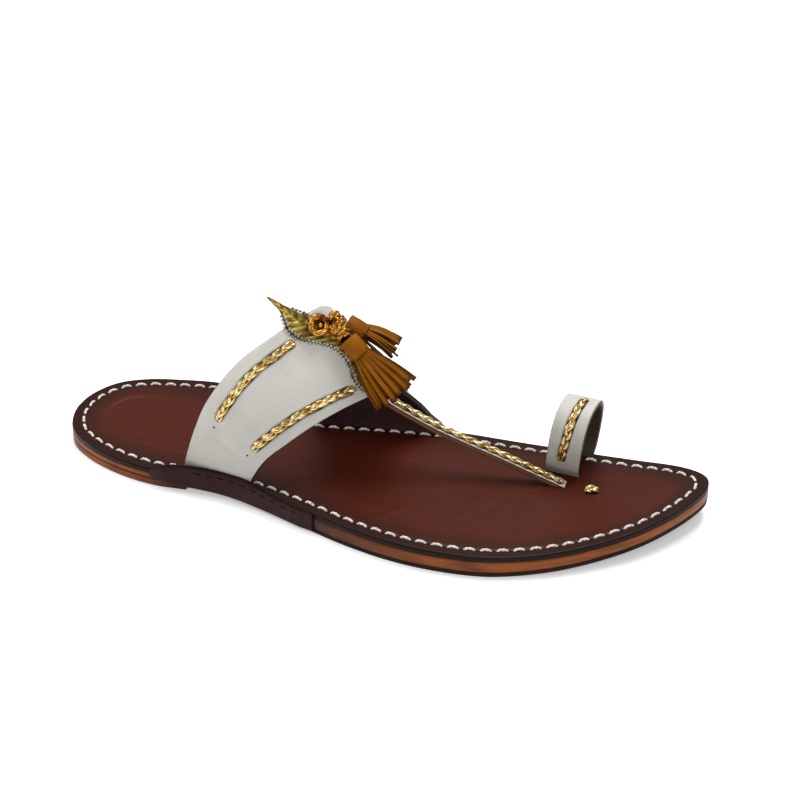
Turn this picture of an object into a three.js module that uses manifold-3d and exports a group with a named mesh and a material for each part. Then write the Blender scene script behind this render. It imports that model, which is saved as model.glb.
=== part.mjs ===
// Kolhapuri sandal, right foot, women's size of 262 mm. Millimetres, +Z up.
// The model is laid out in the frame of the last: X runs from the heel end to the toe, Y from the
// outer (little toe) side to the inner (big toe) side, and Z up from the ground. The finished group
// is then moved so that its origin is the middle of its bounding box, at the ground.
import * as THREE from 'three';
import { mergeVertices } from 'three/addons/utils/BufferGeometryUtils.js';
import Module from 'manifold-3d';

const wasm = await Module();
wasm.setup();

// ---------------------------------------------------------------- driving dimensions

const GAP = 0.3; // air between two curved pieces
const CUT_DEPTH = 3; // a notch or slot is cut this much deeper than the strap's end that stands in it

// Outline of the foot bed: rows run from the heel to the toe.
const HEEL_END = { along: 0, across: -4 };
const TOE_END = { along: 262, across: 28.5 };
const LATERAL_EDGE = [
  { along: 1.6, across: -13.5 }, { along: 7.9, across: -24.4 }, { along: 20, across: -32 },
  { along: 37, across: -36.8 }, { along: 53, across: -37.8 }, { along: 68, across: -35.4 },
  { along: 84, across: -34.4 }, { along: 100, across: -36.2 }, { along: 118, across: -39.8 },
  { along: 140, across: -44.6 }, { along: 160, across: -46.8 }, { along: 178, across: -46 },
  { along: 196, across: -42.2 }, { along: 210, across: -35.8 }, { along: 223, across: -27.6 },
  { along: 236, across: -16.6 }, { along: 247, across: -4.6 }, { along: 255.5, across: 9 },
  { along: 260.4, across: 20.5 },
];
const MEDIAL_EDGE = [
  { along: 1.4, across: 5.5 }, { along: 6.6, across: 15.6 }, { along: 16.9, across: 23.3 },
  { along: 30, across: 28.4 }, { along: 44, across: 32.4 }, { along: 56, across: 33 },
  { along: 68, across: 29.4 }, { along: 82, across: 23.6 }, { along: 97, across: 21.8 },
  { along: 115, across: 25.8 }, { along: 136, across: 31.8 }, { along: 157, across: 36 },
  { along: 180, across: 38.8 }, { along: 204, across: 41.8 }, { along: 228, across: 43.4 },
  { along: 246, across: 43 }, { along: 256, across: 39.6 }, { along: 260.6, across: 35 },
];

// Heights of the sole's layers
const HEEL_BREAST = 66; // front face of the heel lift
const TREAD_START = 130; // the tread is flat on the ground from here
const TREAD_END = 195; // to here
const HEEL_HEIGHT = 7.8; // foot bed above the ground under the heel
const FORE_HEIGHT = 9; // and under the ball of the foot
const WAIST_RISE = 1.5; // outsole above the ground at the heel's breast
const TOE_SPRING = 7; // outsole above the ground at the toe
const BED_SPRING = 6; // foot bed's rise at the toe, a little less because the toe is skived
const BED_SPRING_START = 200;
const TOP_SOLE_THICK = 2;
const OUTSOLE_THICK = 1.6;

// Instep band: each row is one rib across it, from its rear edge to its front edge. The rows run
// from the outer foot of the band, over the instep, to its inner foot.
const BAND_ROWS = [
  { rear: [64.6, -32.9, 7.2], front: [94, -34.2, 7.4] },
  { rear: [66, -33.4, 14], front: [96, -34.6, 13.5] },
  { rear: [69.6, -31.8, 27.2], front: [101, -32.2, 21.8] },
  { rear: [74.5, -28.2, 40.4], front: [108, -28, 28.3] },
  { rear: [84, -21, 55], front: [115, -21.5, 33.8] },
  { rear: [94.4, -12.2, 64], front: [123.8, -11.7, 38.7] },
  { rear: [104.2, 1.5, 70.4], front: [131.5, -0.5, 41] },
  { rear: [107.5, 9, 71], front: [134.5, 6.5, 41.5] },
  { rear: [108.6, 15, 66.5], front: [137, 14, 38.5] },
  { rear: [106.5, 18.6, 57], front: [139, 21, 31.8] },
  { rear: [102.6, 20.4, 44], front: [141.6, 27.5, 24.2] },
  { rear: [99.6, 21.2, 28], front: [144.5, 31.5, 17.5] },
  { rear: [97.6, 21.2, 14], front: [148.5, 33.8, 12.4] },
  { rear: [97, 20.6, 7.4], front: [150, 33.4, 7.6] },
];
const BAND_WALL = 2.6;
const BAND_CROWN = 1.2; // bulge of each rib between the band's two edges, none at its feet

// T-strap, or thong: the middle of its top face, from under the band's crest to the slot by the toe
const THONG_PATH = [
  [124.5, 5.6, 49.6], [130.5, 5.9, 42.6], [136.5, 6.4, 37.6], [147, 7.8, 32.2], [157.4, 9.2, 27.6],
  [169.6, 10.9, 23.3], [181.7, 12.5, 19.4], [193.9, 14.2, 15], [203.5, 15.6, 11.6], [208.4, 16.3, 9.8],
];
const THONG_WIDE = 4.6;
const THONG_THICK = 2.7;

// Toe ring: half of its outer profile, from the slot in the foot bed up to its top
const RING_PROFILE = [
  { out: 8.4, up: -1.6 }, { out: 8.9, up: 0.2 }, { out: 11.2, up: 4.4 }, { out: 12.1, up: 10 },
  { out: 12.1, up: 17.5 }, { out: 10.6, up: 23.6 }, { out: 6.6, up: 28.2 }, { out: 0, up: 29.8 },
];
const RING_CENTRE = [204.4, 32.3];
const RING_WIDE = 14; // along the toe
const RING_WALL = 2.3;
const RING_LEAN = 3.1; // how far forward its top leans

// Ears, the leather flaps along the sole's edge that hold the band's feet
const EAR_THICK = 1.5;
const EAR_TAPER = { lift: 2.2, reach: 16 }; // its lower edge rises toward its rear end
const EARS = {
  ear_lateral: { side: 'lateral', rows: [
    { along: 51.5, top: 7.6 }, { along: 55, top: 10 }, { along: 59.5, top: 11.3 }, { along: 67, top: 11.9 },
    { along: 80, top: 12.2 }, { along: 93, top: 12 }, { along: 104, top: 10.4 }, { along: 115, top: 9.5 },
    { along: 126, top: 8.9 }] },
  ear_medial: { side: 'medial', rows: [
    { along: 82.5, top: 7.6 }, { along: 86, top: 10 }, { along: 91, top: 11.3 }, { along: 100, top: 12 },
    { along: 115, top: 12.2 }, { along: 130, top: 12.2 }, { along: 141, top: 11.6 },
    { along: 147, top: 10.2 }, { along: 155, top: 8.9 }] },
};

// Leaf tab on the crest: along goes from the band's rear edge (0) to its front edge (1), and
// negative behind the band, where the tab's tip stands free. near and far count the band's rows.
const LEAF_ROWS = [
  { along: -0.36, near: 5.5, far: 5.53 }, { along: -0.28, near: 5.51, far: 5.6 },
  { along: -0.2, near: 5.52, far: 5.66 }, { along: -0.14, near: 5.5, far: 5.73 },
  { along: -0.08, near: 5.46, far: 5.82 }, { along: -0.02, near: 5.41, far: 5.93 },
  { along: 0.04, near: 5.385, far: 6.05 }, { along: 0.1, near: 5.4, far: 6.18 },
  { along: 0.17, near: 5.45, far: 6.32 }, { along: 0.225, near: 5.54, far: 6.44 },
  { along: 0.285, near: 5.66, far: 6.56 }, { along: 0.366, near: 5.84, far: 6.7 },
  { along: 0.48, near: 6, far: 6.82 }, { along: 0.6, near: 6.03, far: 6.88 },
  { along: 0.72, near: 5.9, far: 6.85 }, { along: 0.82, near: 5.82, far: 6.72 },
  { along: 0.9, near: 5.84, far: 6.58 }, { along: 0.96, near: 5.96, far: 6.4 },
  { along: 0.985, near: 6.1, far: 6.25 },
];
const LEAF_THICK = 1.5;

// Plaited gold braids laid on the straps: from and to count the band's rows
const BRAID_WIDE = 3.2;
const BRAID_THICK = 1.1;
const RING_BRAID_SHIFT = [-0.9, 1.3]; // off the middle of the toe ring, at its low end and at its high end
const BAND_BRAIDS = {
  braid_lateral_rear: { from: [2.6, 0.22], to: [5.28, 0.16] },
  braid_lateral_front: { from: [2.15, 0.79], to: [5.72, 0.87] },
  braid_medial_rear: { from: [10.4, 0.22], to: [7.6, 0.15] },
  braid_medial_front: { from: [10.8, 0.8], to: [7.3, 0.87] },
};

// Tassels: a braided loop and knot on the crest, and two fringed tassels that hang from it. The turn
// of a tassel, in degrees, is about its own axis.
const LOOP = { centre: [110.6, -2.2, 68.8], radius: 3.7, cord: 1.4 };
const KNOT = { centre: [117.3, 1.8, 67.6], direction: [0.61, -0.3, -0.73], radii: [3.6, 3.4, 6] };
const CAP_LONG = 8.6;
const CAP_RADIUS = 3.9; // half width, across the roll
const CAP_THICK = 2.9; // half thickness
const TASSELS = {
  near: { start: [121.8, 0.2, 63.8], end: [143.7, -2.2, 45.1], turn: 46, tipWide: 9.5, tipThick: 2.6 },
  far: { start: [117.7, 8.9, 66.2], end: [137.2, 12, 55.8], turn: 0, tipWide: 8, tipThick: 2.4 },
};

// ---------------------------------------------------------------- materials

const leather = (color, roughness = 0.55) => new THREE.MeshStandardMaterial({ color, roughness });
const redBrownLeather = leather('#5a2e24', 0.45);
const tanLeather = leather('#8f5722', 0.5);
const darkLeather = leather('#33261f', 0.6);
const purpleBrownLeather = leather('#47292a', 0.4);
const whiteLeather = leather('#cfc8c0', 0.5);
const ochreLeather = leather('#a9671a', 0.6);
const goldThread = new THREE.MeshStandardMaterial({ color: '#cfae62', roughness: 0.35, metalness: 0.8 });
const copperThread = new THREE.MeshStandardMaterial({ color: '#b57a35', roughness: 0.35, metalness: 0.8 });

// ---------------------------------------------------------------- small tools

const point = (array) => new THREE.Vector3(...array);
const mix = THREE.MathUtils.lerp;

// Six times the volume inside a closed set of triangles, negative where they face inwards.
function signedVolume(points, index) {
  let sum = 0;
  for (let i = 0; i < index.length; i += 3) {
    const [a, b, c] = [points[index[i]], points[index[i + 1]], points[index[i + 2]]];
    sum += a.dot(b.clone().cross(c));
  }
  return sum;
}

// A closed solid through a row of rings with the same number of points, with a flat cap on each end.
// Its faces point outwards whichever way round the rings run.
function loft(rings) {
  const count = rings[0].length;
  const points = rings.flat();
  const index = [];
  for (let r = 0; r + 1 < rings.length; r++) {
    for (let i = 0; i < count; i++) {
      const a = r * count + i;
      const b = r * count + (i + 1) % count;
      index.push(a, b, b + count, a, b + count, a + count);
    }
  }
  const last = (rings.length - 1) * count;
  for (let i = 1; i + 1 < count; i++) {
    index.push(0, i + 1, i);
    index.push(last, last + i, last + i + 1);
  }
  if (signedVolume(points, index) < 0) index.reverse();
  const geometry = new THREE.BufferGeometry().setFromPoints(points);
  geometry.setIndex(index);
  return geometry;
}

function toSolid(geometry) {
  const plain = geometry.clone();
  plain.deleteAttribute('normal');
  plain.deleteAttribute('uv');
  const merged = mergeVertices(plain, 1e-4);
  return new wasm.Manifold(new wasm.Mesh({
    numProp: 3,
    vertProperties: new Float32Array(merged.attributes.position.array),
    triVerts: new Uint32Array(merged.index.array),
  }));
}

function toGeometry(solid) {
  const { vertProperties, triVerts } = solid.getMesh();
  const geometry = new THREE.BufferGeometry();
  geometry.setAttribute('position', new THREE.BufferAttribute(vertProperties, 3));
  geometry.setIndex(new THREE.BufferAttribute(triVerts, 1));
  return geometry;
}

const shoe = new THREE.Group();

function addPiece(name, geometry, material) {
  const faceted = geometry.toNonIndexed();
  faceted.computeVertexNormals();
  const mesh = new THREE.Mesh(faceted, material);
  mesh.name = name;
  shoe.add(mesh);
}

// ---------------------------------------------------------------- shape of the sole

const outlinePoints = [HEEL_END, ...LATERAL_EDGE, TOE_END, ...[...MEDIAL_EDGE].reverse()]
  .map((row) => new THREE.Vector3(row.along, row.across, 0));
const outline = new THREE.CatmullRomCurve3(outlinePoints, true, 'centripetal');
const toeShare = (LATERAL_EDGE.length + 1) / outlinePoints.length; // curve parameter of the toe end
const SIDE_SAMPLES = 400;
const sideShares = [...Array(SIDE_SAMPLES + 1).keys()].map((i) => i / SIDE_SAMPLES);
const sidePoints = {
  lateral: sideShares.map((share) => outline.getPoint(toeShare * share)),
  medial: sideShares.map((share) => outline.getPoint(1 - (1 - toeShare) * share)),
};

// Where the outline is on one side at a distance along the sole.
function edgeAt(side, along) {
  const points = sidePoints[side];
  const i = Math.max(1, points.findIndex((p) => p.x >= along));
  const share = (along - points[i - 1].x) / (points[i].x - points[i - 1].x);
  return mix(points[i - 1].y, points[i].y, share);
}

const toeRise = (along, start, rise) => rise * Math.max(0, (along - start) / (TOE_END.along - start)) ** 2;
const bedTop = (along) => mix(HEEL_HEIGHT, FORE_HEIGHT, THREE.MathUtils.smoothstep(along, 50, TREAD_START))
  + toeRise(along, BED_SPRING_START, BED_SPRING);
const waistRise = (along) => WAIST_RISE * (1 - THREE.MathUtils.smoothstep(along, HEEL_BREAST, TREAD_START));
const outsoleBottom = (along) => waistRise(along) + toeRise(along, TREAD_END, TOE_SPRING);
const midsoleBottom = (along) => outsoleBottom(along) + OUTSOLE_THICK + GAP;
const midsoleTop = (along) => bedTop(along) - TOP_SOLE_THICK - GAP;

// Stations along the sole, closer together at the round ends and at the tread's two ends.
function stations(from, to) {
  const round = 10; // steps in each round end
  const list = [from, to];
  for (let i = 1; i <= round; i++) {
    const step = 20 * (1 - Math.cos(Math.PI / 2 * i / round));
    list.push(HEEL_END.along + step, TOE_END.along - step);
  }
  for (let along = 25; along <= 240; along += 5) list.push(along);
  const inside = list.filter((along) => along >= from && along <= to).sort((a, b) => a - b);
  return inside.filter((along, i) => i === 0 || along - inside[i - 1] > 0.05);
}

// One layer of the sole between two heights, over a stretch of its length.
function layer(from, to, bottom, top) {
  return loft(stations(from, to).map((along) => {
    const lateral = edgeAt('lateral', along);
    const medial = edgeAt('medial', along);
    return [
      new THREE.Vector3(along, lateral, bottom(along)), new THREE.Vector3(along, lateral, top(along)),
      new THREE.Vector3(along, medial, top(along)), new THREE.Vector3(along, medial, bottom(along)),
    ];
  }));
}
const END = 0.12; // the round ends stop this far from the very tip, on a face about as wide as a layer

// ---------------------------------------------------------------- shape of the band

// A point on the band's outer face: row counts the ribs, along goes from the rear edge to the front.
function ribPoint(row, along) {
  const at = THREE.MathUtils.clamp(row, 0, BAND_ROWS.length - 1);
  const i = Math.min(Math.floor(at), BAND_ROWS.length - 2);
  const pick = (edge, k) => BAND_ROWS[THREE.MathUtils.clamp(i + k, 0, BAND_ROWS.length - 1)][edge];
  const f = at - i;
  const blend = (edge) => point([0, 1, 2].map((axis) => {
    const [a, b, c, d] = [-1, 0, 1, 2].map((k) => pick(edge, k)[axis]);
    return b + 0.5 * f * (c - a + f * (2 * a - 5 * b + 4 * c - d + f * (3 * (b - c) + d - a)));
  }));
  return blend('rear').lerp(blend('front'), along);
}

function bandNormal(row, along) {
  const step = 0.02;
  const across = ribPoint(Math.min(row + step, BAND_ROWS.length - 1), along)
    .sub(ribPoint(Math.max(row - step, 0), along));
  const forward = ribPoint(row, along + step).sub(ribPoint(row, along - step));
  return forward.cross(across).normalize();
}

function onBand(row, along, lift) {
  const fromFoot = Math.min(row, BAND_ROWS.length - 1 - row);
  const crown = BAND_CROWN * Math.max(0, 4 * along * (1 - along)) * THREE.MathUtils.smoothstep(fromFoot, 1, 3);
  return ribPoint(row, along).addScaledVector(bandNormal(row, along), lift + crown);
}

// Rings of a shell on the band between two lifts. Each section has two ends, as [row, along].
function bandRings(sections, outer, inner, steps) {
  return sections.map(([a, b]) => {
    const share = (k, lift) => onBand(mix(a[0], b[0], k / steps), mix(a[1], b[1], k / steps), lift);
    const outerSide = [...Array(steps + 1).keys()].map((k) => share(k, outer));
    const innerSide = [...Array(steps + 1).keys()].map((k) => share(steps - k, inner));
    return [...outerSide, ...innerSide];
  });
}

// The band itself, or where grow is given the larger form that cuts its notches.
function bandSolid(grow = 0) {
  const extra = grow / 30; // the band is about 30 mm wide at its feet
  const rows = [...Array((BAND_ROWS.length - 1) * 3 + 1).keys()].map((k) => k / 3);
  const rings = bandRings(rows.map((row) => [[row, 1 + extra], [row, -extra]]), grow, -BAND_WALL - grow, 5);
  const lowered = (ring) => ring.map((p) => p.clone().setZ(p.z - CUT_DEPTH));
  return toSolid(loft(grow ? [lowered(rings[0]), ...rings, lowered(rings[rings.length - 1])] : rings));
}

// ---------------------------------------------------------------- straps of constant section

// A flat strip that follows a path of { at, side, up } frames, with its top face on the path.
function strip(frames, wide, top, bottom) {
  return loft(frames.map(({ at, side, up }) => {
    const corner = (sideways, height) => at.clone().addScaledVector(side, sideways).addScaledVector(up, height);
    return [corner(-wide / 2, bottom), corner(wide / 2, bottom), corner(wide / 2, top), corner(-wide / 2, top)];
  }));
}

// The same path with each end carried on by the depth of a cut.
function carriedOn(frames) {
  const beyond = (end, next) => ({ ...end,
    at: end.at.clone().addScaledVector(end.at.clone().sub(next.at).normalize(), CUT_DEPTH) });
  const [last, beforeLast] = [frames[frames.length - 1], frames[frames.length - 2]];
  return [beyond(frames[0], frames[1]), ...frames, beyond(last, beforeLast)];
}

const strapSolid = (frames, wide, thick, grow) => toSolid(
  strip(grow ? carriedOn(frames) : frames, wide + 2 * grow, grow, -thick - grow));

const thongCurve = new THREE.CatmullRomCurve3(THONG_PATH.map(point), false, 'centripetal');

function thongFrames(from, to, count) {
  return [...Array(count + 1).keys()].map((k) => {
    const share = mix(from, to, k / count);
    const tangent = thongCurve.getTangentAt(share);
    const side = new THREE.Vector3(0, 0, 1).cross(tangent).normalize();
    return { at: thongCurve.getPointAt(share), side, up: tangent.clone().cross(side) };
  });
}

const ringFloor = bedTop(RING_CENTRE[0]);
const ringHalf = RING_PROFILE.map(({ out, up }) => new THREE.Vector3(0, out, up));
const ringCurve = new THREE.CatmullRomCurve3([
  ...ringHalf.map((p) => new THREE.Vector3(0, -p.y, p.z)),
  ...ringHalf.slice(0, -1).reverse(),
], false, 'centripetal');

// Frames along the toe ring's outer face, from its outer foot (0) to its inner foot (1).
function ringFrames(from, to, count) {
  const height = RING_PROFILE[RING_PROFILE.length - 1].up;
  return [...Array(count + 1).keys()].map((k) => {
    const share = mix(from, to, k / count);
    const local = ringCurve.getPointAt(share);
    const tangent = ringCurve.getTangentAt(share);
    const lean = RING_LEAN * Math.max(0, local.z) / height;
    const at = new THREE.Vector3(RING_CENTRE[0] + lean, RING_CENTRE[1] + local.y, ringFloor + local.z);
    return { at, side: new THREE.Vector3(1, 0, 0), up: new THREE.Vector3(1, 0, 0).cross(tangent) };
  });
}

// ---------------------------------------------------------------- sole

addPiece('heel_lift',
  layer(HEEL_END.along + END, HEEL_BREAST, () => 0, (along) => midsoleBottom(along) - GAP), tanLeather);
addPiece('outsole',
  layer(HEEL_BREAST + GAP, TOE_END.along - END, outsoleBottom, (along) => outsoleBottom(along) + OUTSOLE_THICK),
  darkLeather);
addPiece('midsole', layer(HEEL_END.along + END, TOE_END.along - END, midsoleBottom, midsoleTop), tanLeather);

// The foot bed has a notch for each foot of the band, a slot for the thong and one for each ring foot.
const ringSolid = (grow = 0) => strapSolid(ringFrames(0, 1, 32), RING_WIDE, RING_WALL, grow);
const thongSolid = (grow = 0) => strapSolid(thongFrames(0, 1, 22), THONG_WIDE, THONG_THICK, grow);
const footBed = toSolid(layer(HEEL_END.along + END, TOE_END.along - END,
  (along) => bedTop(along) - TOP_SOLE_THICK, bedTop))
  .subtract(bandSolid(GAP))
  .subtract(ringSolid(GAP))
  .subtract(thongSolid(GAP));
addPiece('top_sole', toGeometry(footBed), redBrownLeather);

function ear({ side, rows }) {
  const out = side === 'lateral' ? -1 : 1;
  const topPoints = rows.map((row) => new THREE.Vector3(row.along, 0, row.top));
  const tops = new THREE.CatmullRomCurve3(topPoints, false, 'centripetal');
  const rings = [...Array(25).keys()].map((k) => {
    const { x: along, z: top } = tops.getPoint(k / 24);
    const slope = edgeAt(side, along + 1) - edgeAt(side, along - 1);
    const normal = new THREE.Vector3(-slope, 2, 0).normalize().multiplyScalar(out);
    const base = new THREE.Vector3(along, edgeAt(side, along), 0);
    const low = outsoleBottom(along) + 0.8
      + EAR_TAPER.lift * Math.max(0, 1 - (along - rows[0].along) / EAR_TAPER.reach);
    const corner = (lift, height) => base.clone().addScaledVector(normal, lift).setZ(height);
    return [corner(GAP, low), corner(GAP + EAR_THICK, low), corner(GAP + EAR_THICK, top), corner(GAP, top)];
  });
  return loft(rings);
}
for (const [name, shape] of Object.entries(EARS)) addPiece(name, ear(shape), purpleBrownLeather);

// ---------------------------------------------------------------- straps

addPiece('upper', toGeometry(bandSolid().add(thongSolid())), whiteLeather);
addPiece('toe_ring', toGeometry(ringSolid()), whiteLeather);

const leafSections = LEAF_ROWS.map(({ along, near, far }) => [[near, along], [far, along]]);
addPiece('leaf_tab', loft(bandRings(leafSections, GAP + LEAF_THICK, GAP, 4)), goldThread);

for (const [name, { from, to }] of Object.entries(BAND_BRAIDS)) {
  const count = 16;
  const sections = [...Array(count + 1).keys()].map((k) => {
    const row = mix(from[0], to[0], k / count);
    const along = mix(from[1], to[1], k / count);
    const ribLength = ribPoint(row, 0).distanceTo(ribPoint(row, 1));
    const half = BRAID_WIDE / 2 / ribLength;
    return [[row, along + half], [row, along - half]];
  });
  addPiece(name, loft(bandRings(sections, GAP + BRAID_THICK, GAP, 1)), goldThread);
}
addPiece('braid_thong', strip(thongFrames(0.26, 0.93, 16), BRAID_WIDE, GAP + BRAID_THICK, GAP), goldThread);
// The ring's braid leans forward a little on its way up.
const ringBraid = ringFrames(0.13, 0.53, 14).map(({ at, side, up }, k) => (
  { at: at.clone().addScaledVector(side, mix(...RING_BRAID_SHIFT, k / 14)), side, up }));
addPiece('braid_ring', strip(ringBraid, BRAID_WIDE, GAP + BRAID_THICK, GAP), goldThread);

// ---------------------------------------------------------------- tassels

const loop = new THREE.TorusGeometry(LOOP.radius, LOOP.cord, 8, 20);
const loopNormal = bandNormal(6, 0.2);
loop.applyQuaternion(new THREE.Quaternion().setFromUnitVectors(new THREE.Vector3(0, 0, 1), loopNormal));
loop.translate(...LOOP.centre);
const knot = new THREE.SphereGeometry(1, 14, 10);
knot.scale(...KNOT.radii);
knot.applyQuaternion(new THREE.Quaternion()
  .setFromUnitVectors(new THREE.Vector3(0, 0, 1), point(KNOT.direction).normalize()));
knot.translate(...KNOT.centre);
addPiece('tassel_knot', toGeometry(toSolid(loop).add(toSolid(knot))), copperThread);

for (const [name, { start, end, turn, tipWide, tipThick }] of Object.entries(TASSELS)) {
  const axis = point(end).sub(point(start));
  const length = axis.length();
  axis.normalize();
  const side = new THREE.Vector3(0, 0, 1).cross(axis).normalize()
    .applyAxisAngle(axis, THREE.MathUtils.degToRad(turn));
  const up = axis.clone().cross(side);
  const ring = (distance, halfWide, halfThick) => [...Array(14).keys()].map((k) => {
    const angle = 2 * Math.PI * k / 14;
    return point(start).addScaledVector(axis, distance)
      .addScaledVector(side, Math.cos(angle) * halfWide).addScaledVector(up, Math.sin(angle) * halfThick);
  });
  addPiece(`tassel_cap_${name}`,
    loft([ring(0, CAP_RADIUS, CAP_THICK), ring(CAP_LONG, CAP_RADIUS, CAP_THICK)]), ochreLeather);
  addPiece(`fringe_${name}`, loft([
    ring(CAP_LONG + GAP, CAP_RADIUS * 0.95, CAP_THICK * 0.95),
    ring(mix(CAP_LONG, length, 0.5), mix(CAP_RADIUS, tipWide, 0.5), mix(CAP_THICK, tipThick, 0.5)),
    ring(length, tipWide, tipThick)]), ochreLeather);
}

// ---------------------------------------------------------------- place

const box = new THREE.Box3().setFromObject(shoe);
const middle = box.getCenter(new THREE.Vector3());
shoe.position.set(-middle.x, -middle.y, -box.min.z);

export default shoe;
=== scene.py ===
# Kolhapuri sandal for the right foot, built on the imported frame: a hand-stitched leather sole with
# ears, an off-white instep band with a strap to the toe, a toe ring, plaited gold braids, a gold
# leaf tab and two ochre tassels. Sizes are in millimetres on the last, where along runs from the
# heel end to the toe, across from the little toe's side to the big toe's, and up from the ground.
import math
import random

import bmesh
import bpy
import numpy as np
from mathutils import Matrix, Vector


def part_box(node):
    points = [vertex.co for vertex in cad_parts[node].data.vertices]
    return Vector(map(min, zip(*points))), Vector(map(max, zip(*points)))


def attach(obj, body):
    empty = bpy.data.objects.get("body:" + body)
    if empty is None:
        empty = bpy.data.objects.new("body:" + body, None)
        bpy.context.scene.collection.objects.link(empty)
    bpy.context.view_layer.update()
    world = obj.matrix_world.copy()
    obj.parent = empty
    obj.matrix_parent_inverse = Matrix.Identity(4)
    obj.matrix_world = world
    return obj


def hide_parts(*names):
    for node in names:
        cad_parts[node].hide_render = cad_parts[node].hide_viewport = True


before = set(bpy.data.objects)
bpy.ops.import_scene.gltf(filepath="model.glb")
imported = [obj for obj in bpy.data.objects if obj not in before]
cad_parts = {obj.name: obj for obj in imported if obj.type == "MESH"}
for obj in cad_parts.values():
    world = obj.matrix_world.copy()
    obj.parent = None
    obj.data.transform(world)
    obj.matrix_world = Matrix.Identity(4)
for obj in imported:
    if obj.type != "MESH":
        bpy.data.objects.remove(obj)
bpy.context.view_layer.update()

# ------------------------------------------------------------------ camera, floor and light
# A long lens looks down at the outer side of the shoe, which stands on a pale studio floor under
# large soft lamps.

AZIMUTH, ELEVATION = math.radians(23.88), math.radians(31.5)
AIM = Vector((-0.01637, 0.06497963, 0))  # on the floor, in metres in the frame
DISTANCE = 0.9089
LENS, SENSOR_WIDE = 96.06, 36
back = Vector((math.sin(AZIMUTH) * math.cos(ELEVATION), -math.cos(AZIMUTH) * math.cos(ELEVATION),
               math.sin(ELEVATION)))
camera_data = bpy.data.cameras.new("camera")
camera_data.lens = LENS
camera_data.sensor_width = SENSOR_WIDE


def aimed(name, data, place, way):
    """A camera or a lamp at a place, looking along a direction."""
    made = bpy.data.objects.new(name, data)
    made.location = place
    made.rotation_mode = "QUATERNION"
    made.rotation_quaternion = way.to_track_quat("-Z", "Y")
    bpy.context.scene.collection.objects.link(made)
    return made


camera = aimed("camera", camera_data, AIM + back * DISTANCE, -back)
bpy.context.scene.camera = camera
bpy.context.scene.view_settings.view_transform = "Standard"
bpy.context.scene.view_settings.look = "None"


def linear(colour):
    """An sRGB hex colour as linear values."""
    parts = [int(colour[i:i + 2], 16) / 255 for i in (1, 3, 5)]
    return (*[c / 12.92 if c <= 0.04045 else ((c + 0.055) / 1.055) ** 2.4 for c in parts], 1.0)


def node(tree, kind, inputs=None, **settings):
    """Adds one node. Its inputs are values, or sockets to link from."""
    made = tree.nodes.new(kind)
    for name, value in settings.items():
        setattr(made, name, value)
    for name, value in (inputs or {}).items():
        if isinstance(value, bpy.types.NodeSocket):
            tree.links.new(value, made.inputs[name])
        else:
            made.inputs[name].default_value = value
    return made


def new_material(name):
    """An empty node material, and its tree."""
    material = bpy.data.materials.new(name)
    material.use_nodes = True
    material.node_tree.nodes.clear()
    return material, material.node_tree


def surface(tree, **values):
    """The surface of a material. An underscore in the name of a value stands for a space."""
    named = {name.replace("_", " "): value for name, value in values.items()}
    shader = node(tree, "ShaderNodeBsdfPrincipled", named)
    node(tree, "ShaderNodeOutputMaterial", {"Surface": shader.outputs[0]})


FLOOR_HALF, FLOOR_GLOW = 4.0, 0.3
paper, tree = new_material("studio_paper")
surface(tree, Base_Color=linear("#ffffff"), Roughness=0.95, Specular_IOR_Level=0.2,
        Emission_Color=linear("#ffffff"), Emission_Strength=FLOOR_GLOW)
floor_mesh = bpy.data.meshes.new("floor")
corners = [(x * FLOOR_HALF, y * FLOOR_HALF, 0) for x, y in ((-1, -1), (1, -1), (1, 1), (-1, 1))]
floor_mesh.from_pydata(corners, [], [(0, 1, 2, 3)])
floor_mesh.materials.append(paper)
floor = bpy.data.objects.new("floor", floor_mesh)
bpy.context.scene.collection.objects.link(floor)

SKY_STRENGTH = 0.42
world = bpy.data.worlds.new("studio")
world.use_nodes = True
world.node_tree.nodes.clear()
sky = node(world.node_tree, "ShaderNodeBackground", {"Color": linear("#f6f5f2"), "Strength": SKY_STRENGTH})
node(world.node_tree, "ShaderNodeOutputWorld", {"Surface": sky.outputs[0]})
bpy.context.scene.world = world

LAMPS = {  # place, size and power of each softbox
    "top": ((0.05, 0.45, 1.15), 0.75, 13.0),
    "left": ((-0.95, -0.1, 0.75), 0.6, 5.0),
    "front": ((0.5, -1.15, 0.7), 0.9, 5.0)}
for name, (place, size, power) in LAMPS.items():
    lamp = bpy.data.lights.new(name, "AREA")
    lamp.shape = "DISK"
    lamp.size = size
    lamp.energy = power
    aimed(name, lamp, place, -Vector(place))

# ------------------------------------------------------------------ the last
# The plan of the foot bed: a round heel, a waist cut in on both sides and a toe that points to the
# big toe. Every layer of the sole is cut to this outline, so it comes before the pieces.

HEEL_END = (0, -4)
TOE_END = (262, 28.5)
LATERAL_EDGE = [
    (1.6, -13.5), (7.9, -24.4), (20, -32), (37, -36.8), (53, -37.8), (68, -35.4), (84, -34.4),
    (100, -36.2), (118, -39.8), (140, -44.6), (160, -46.8), (178, -46), (196, -42.2), (210, -35.8),
    (223, -27.6), (236, -16.6), (247, -4.6), (255.5, 9), (260.4, 20.5)]
MEDIAL_EDGE = [
    (1.4, 5.5), (6.6, 15.6), (16.9, 23.3), (30, 28.4), (44, 32.4), (56, 33), (68, 29.4), (82, 23.6),
    (97, 21.8), (115, 25.8), (136, 31.8), (157, 36), (180, 38.8), (204, 41.8), (228, 43.4),
    (246, 43), (256, 39.6), (260.6, 35)]


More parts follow.
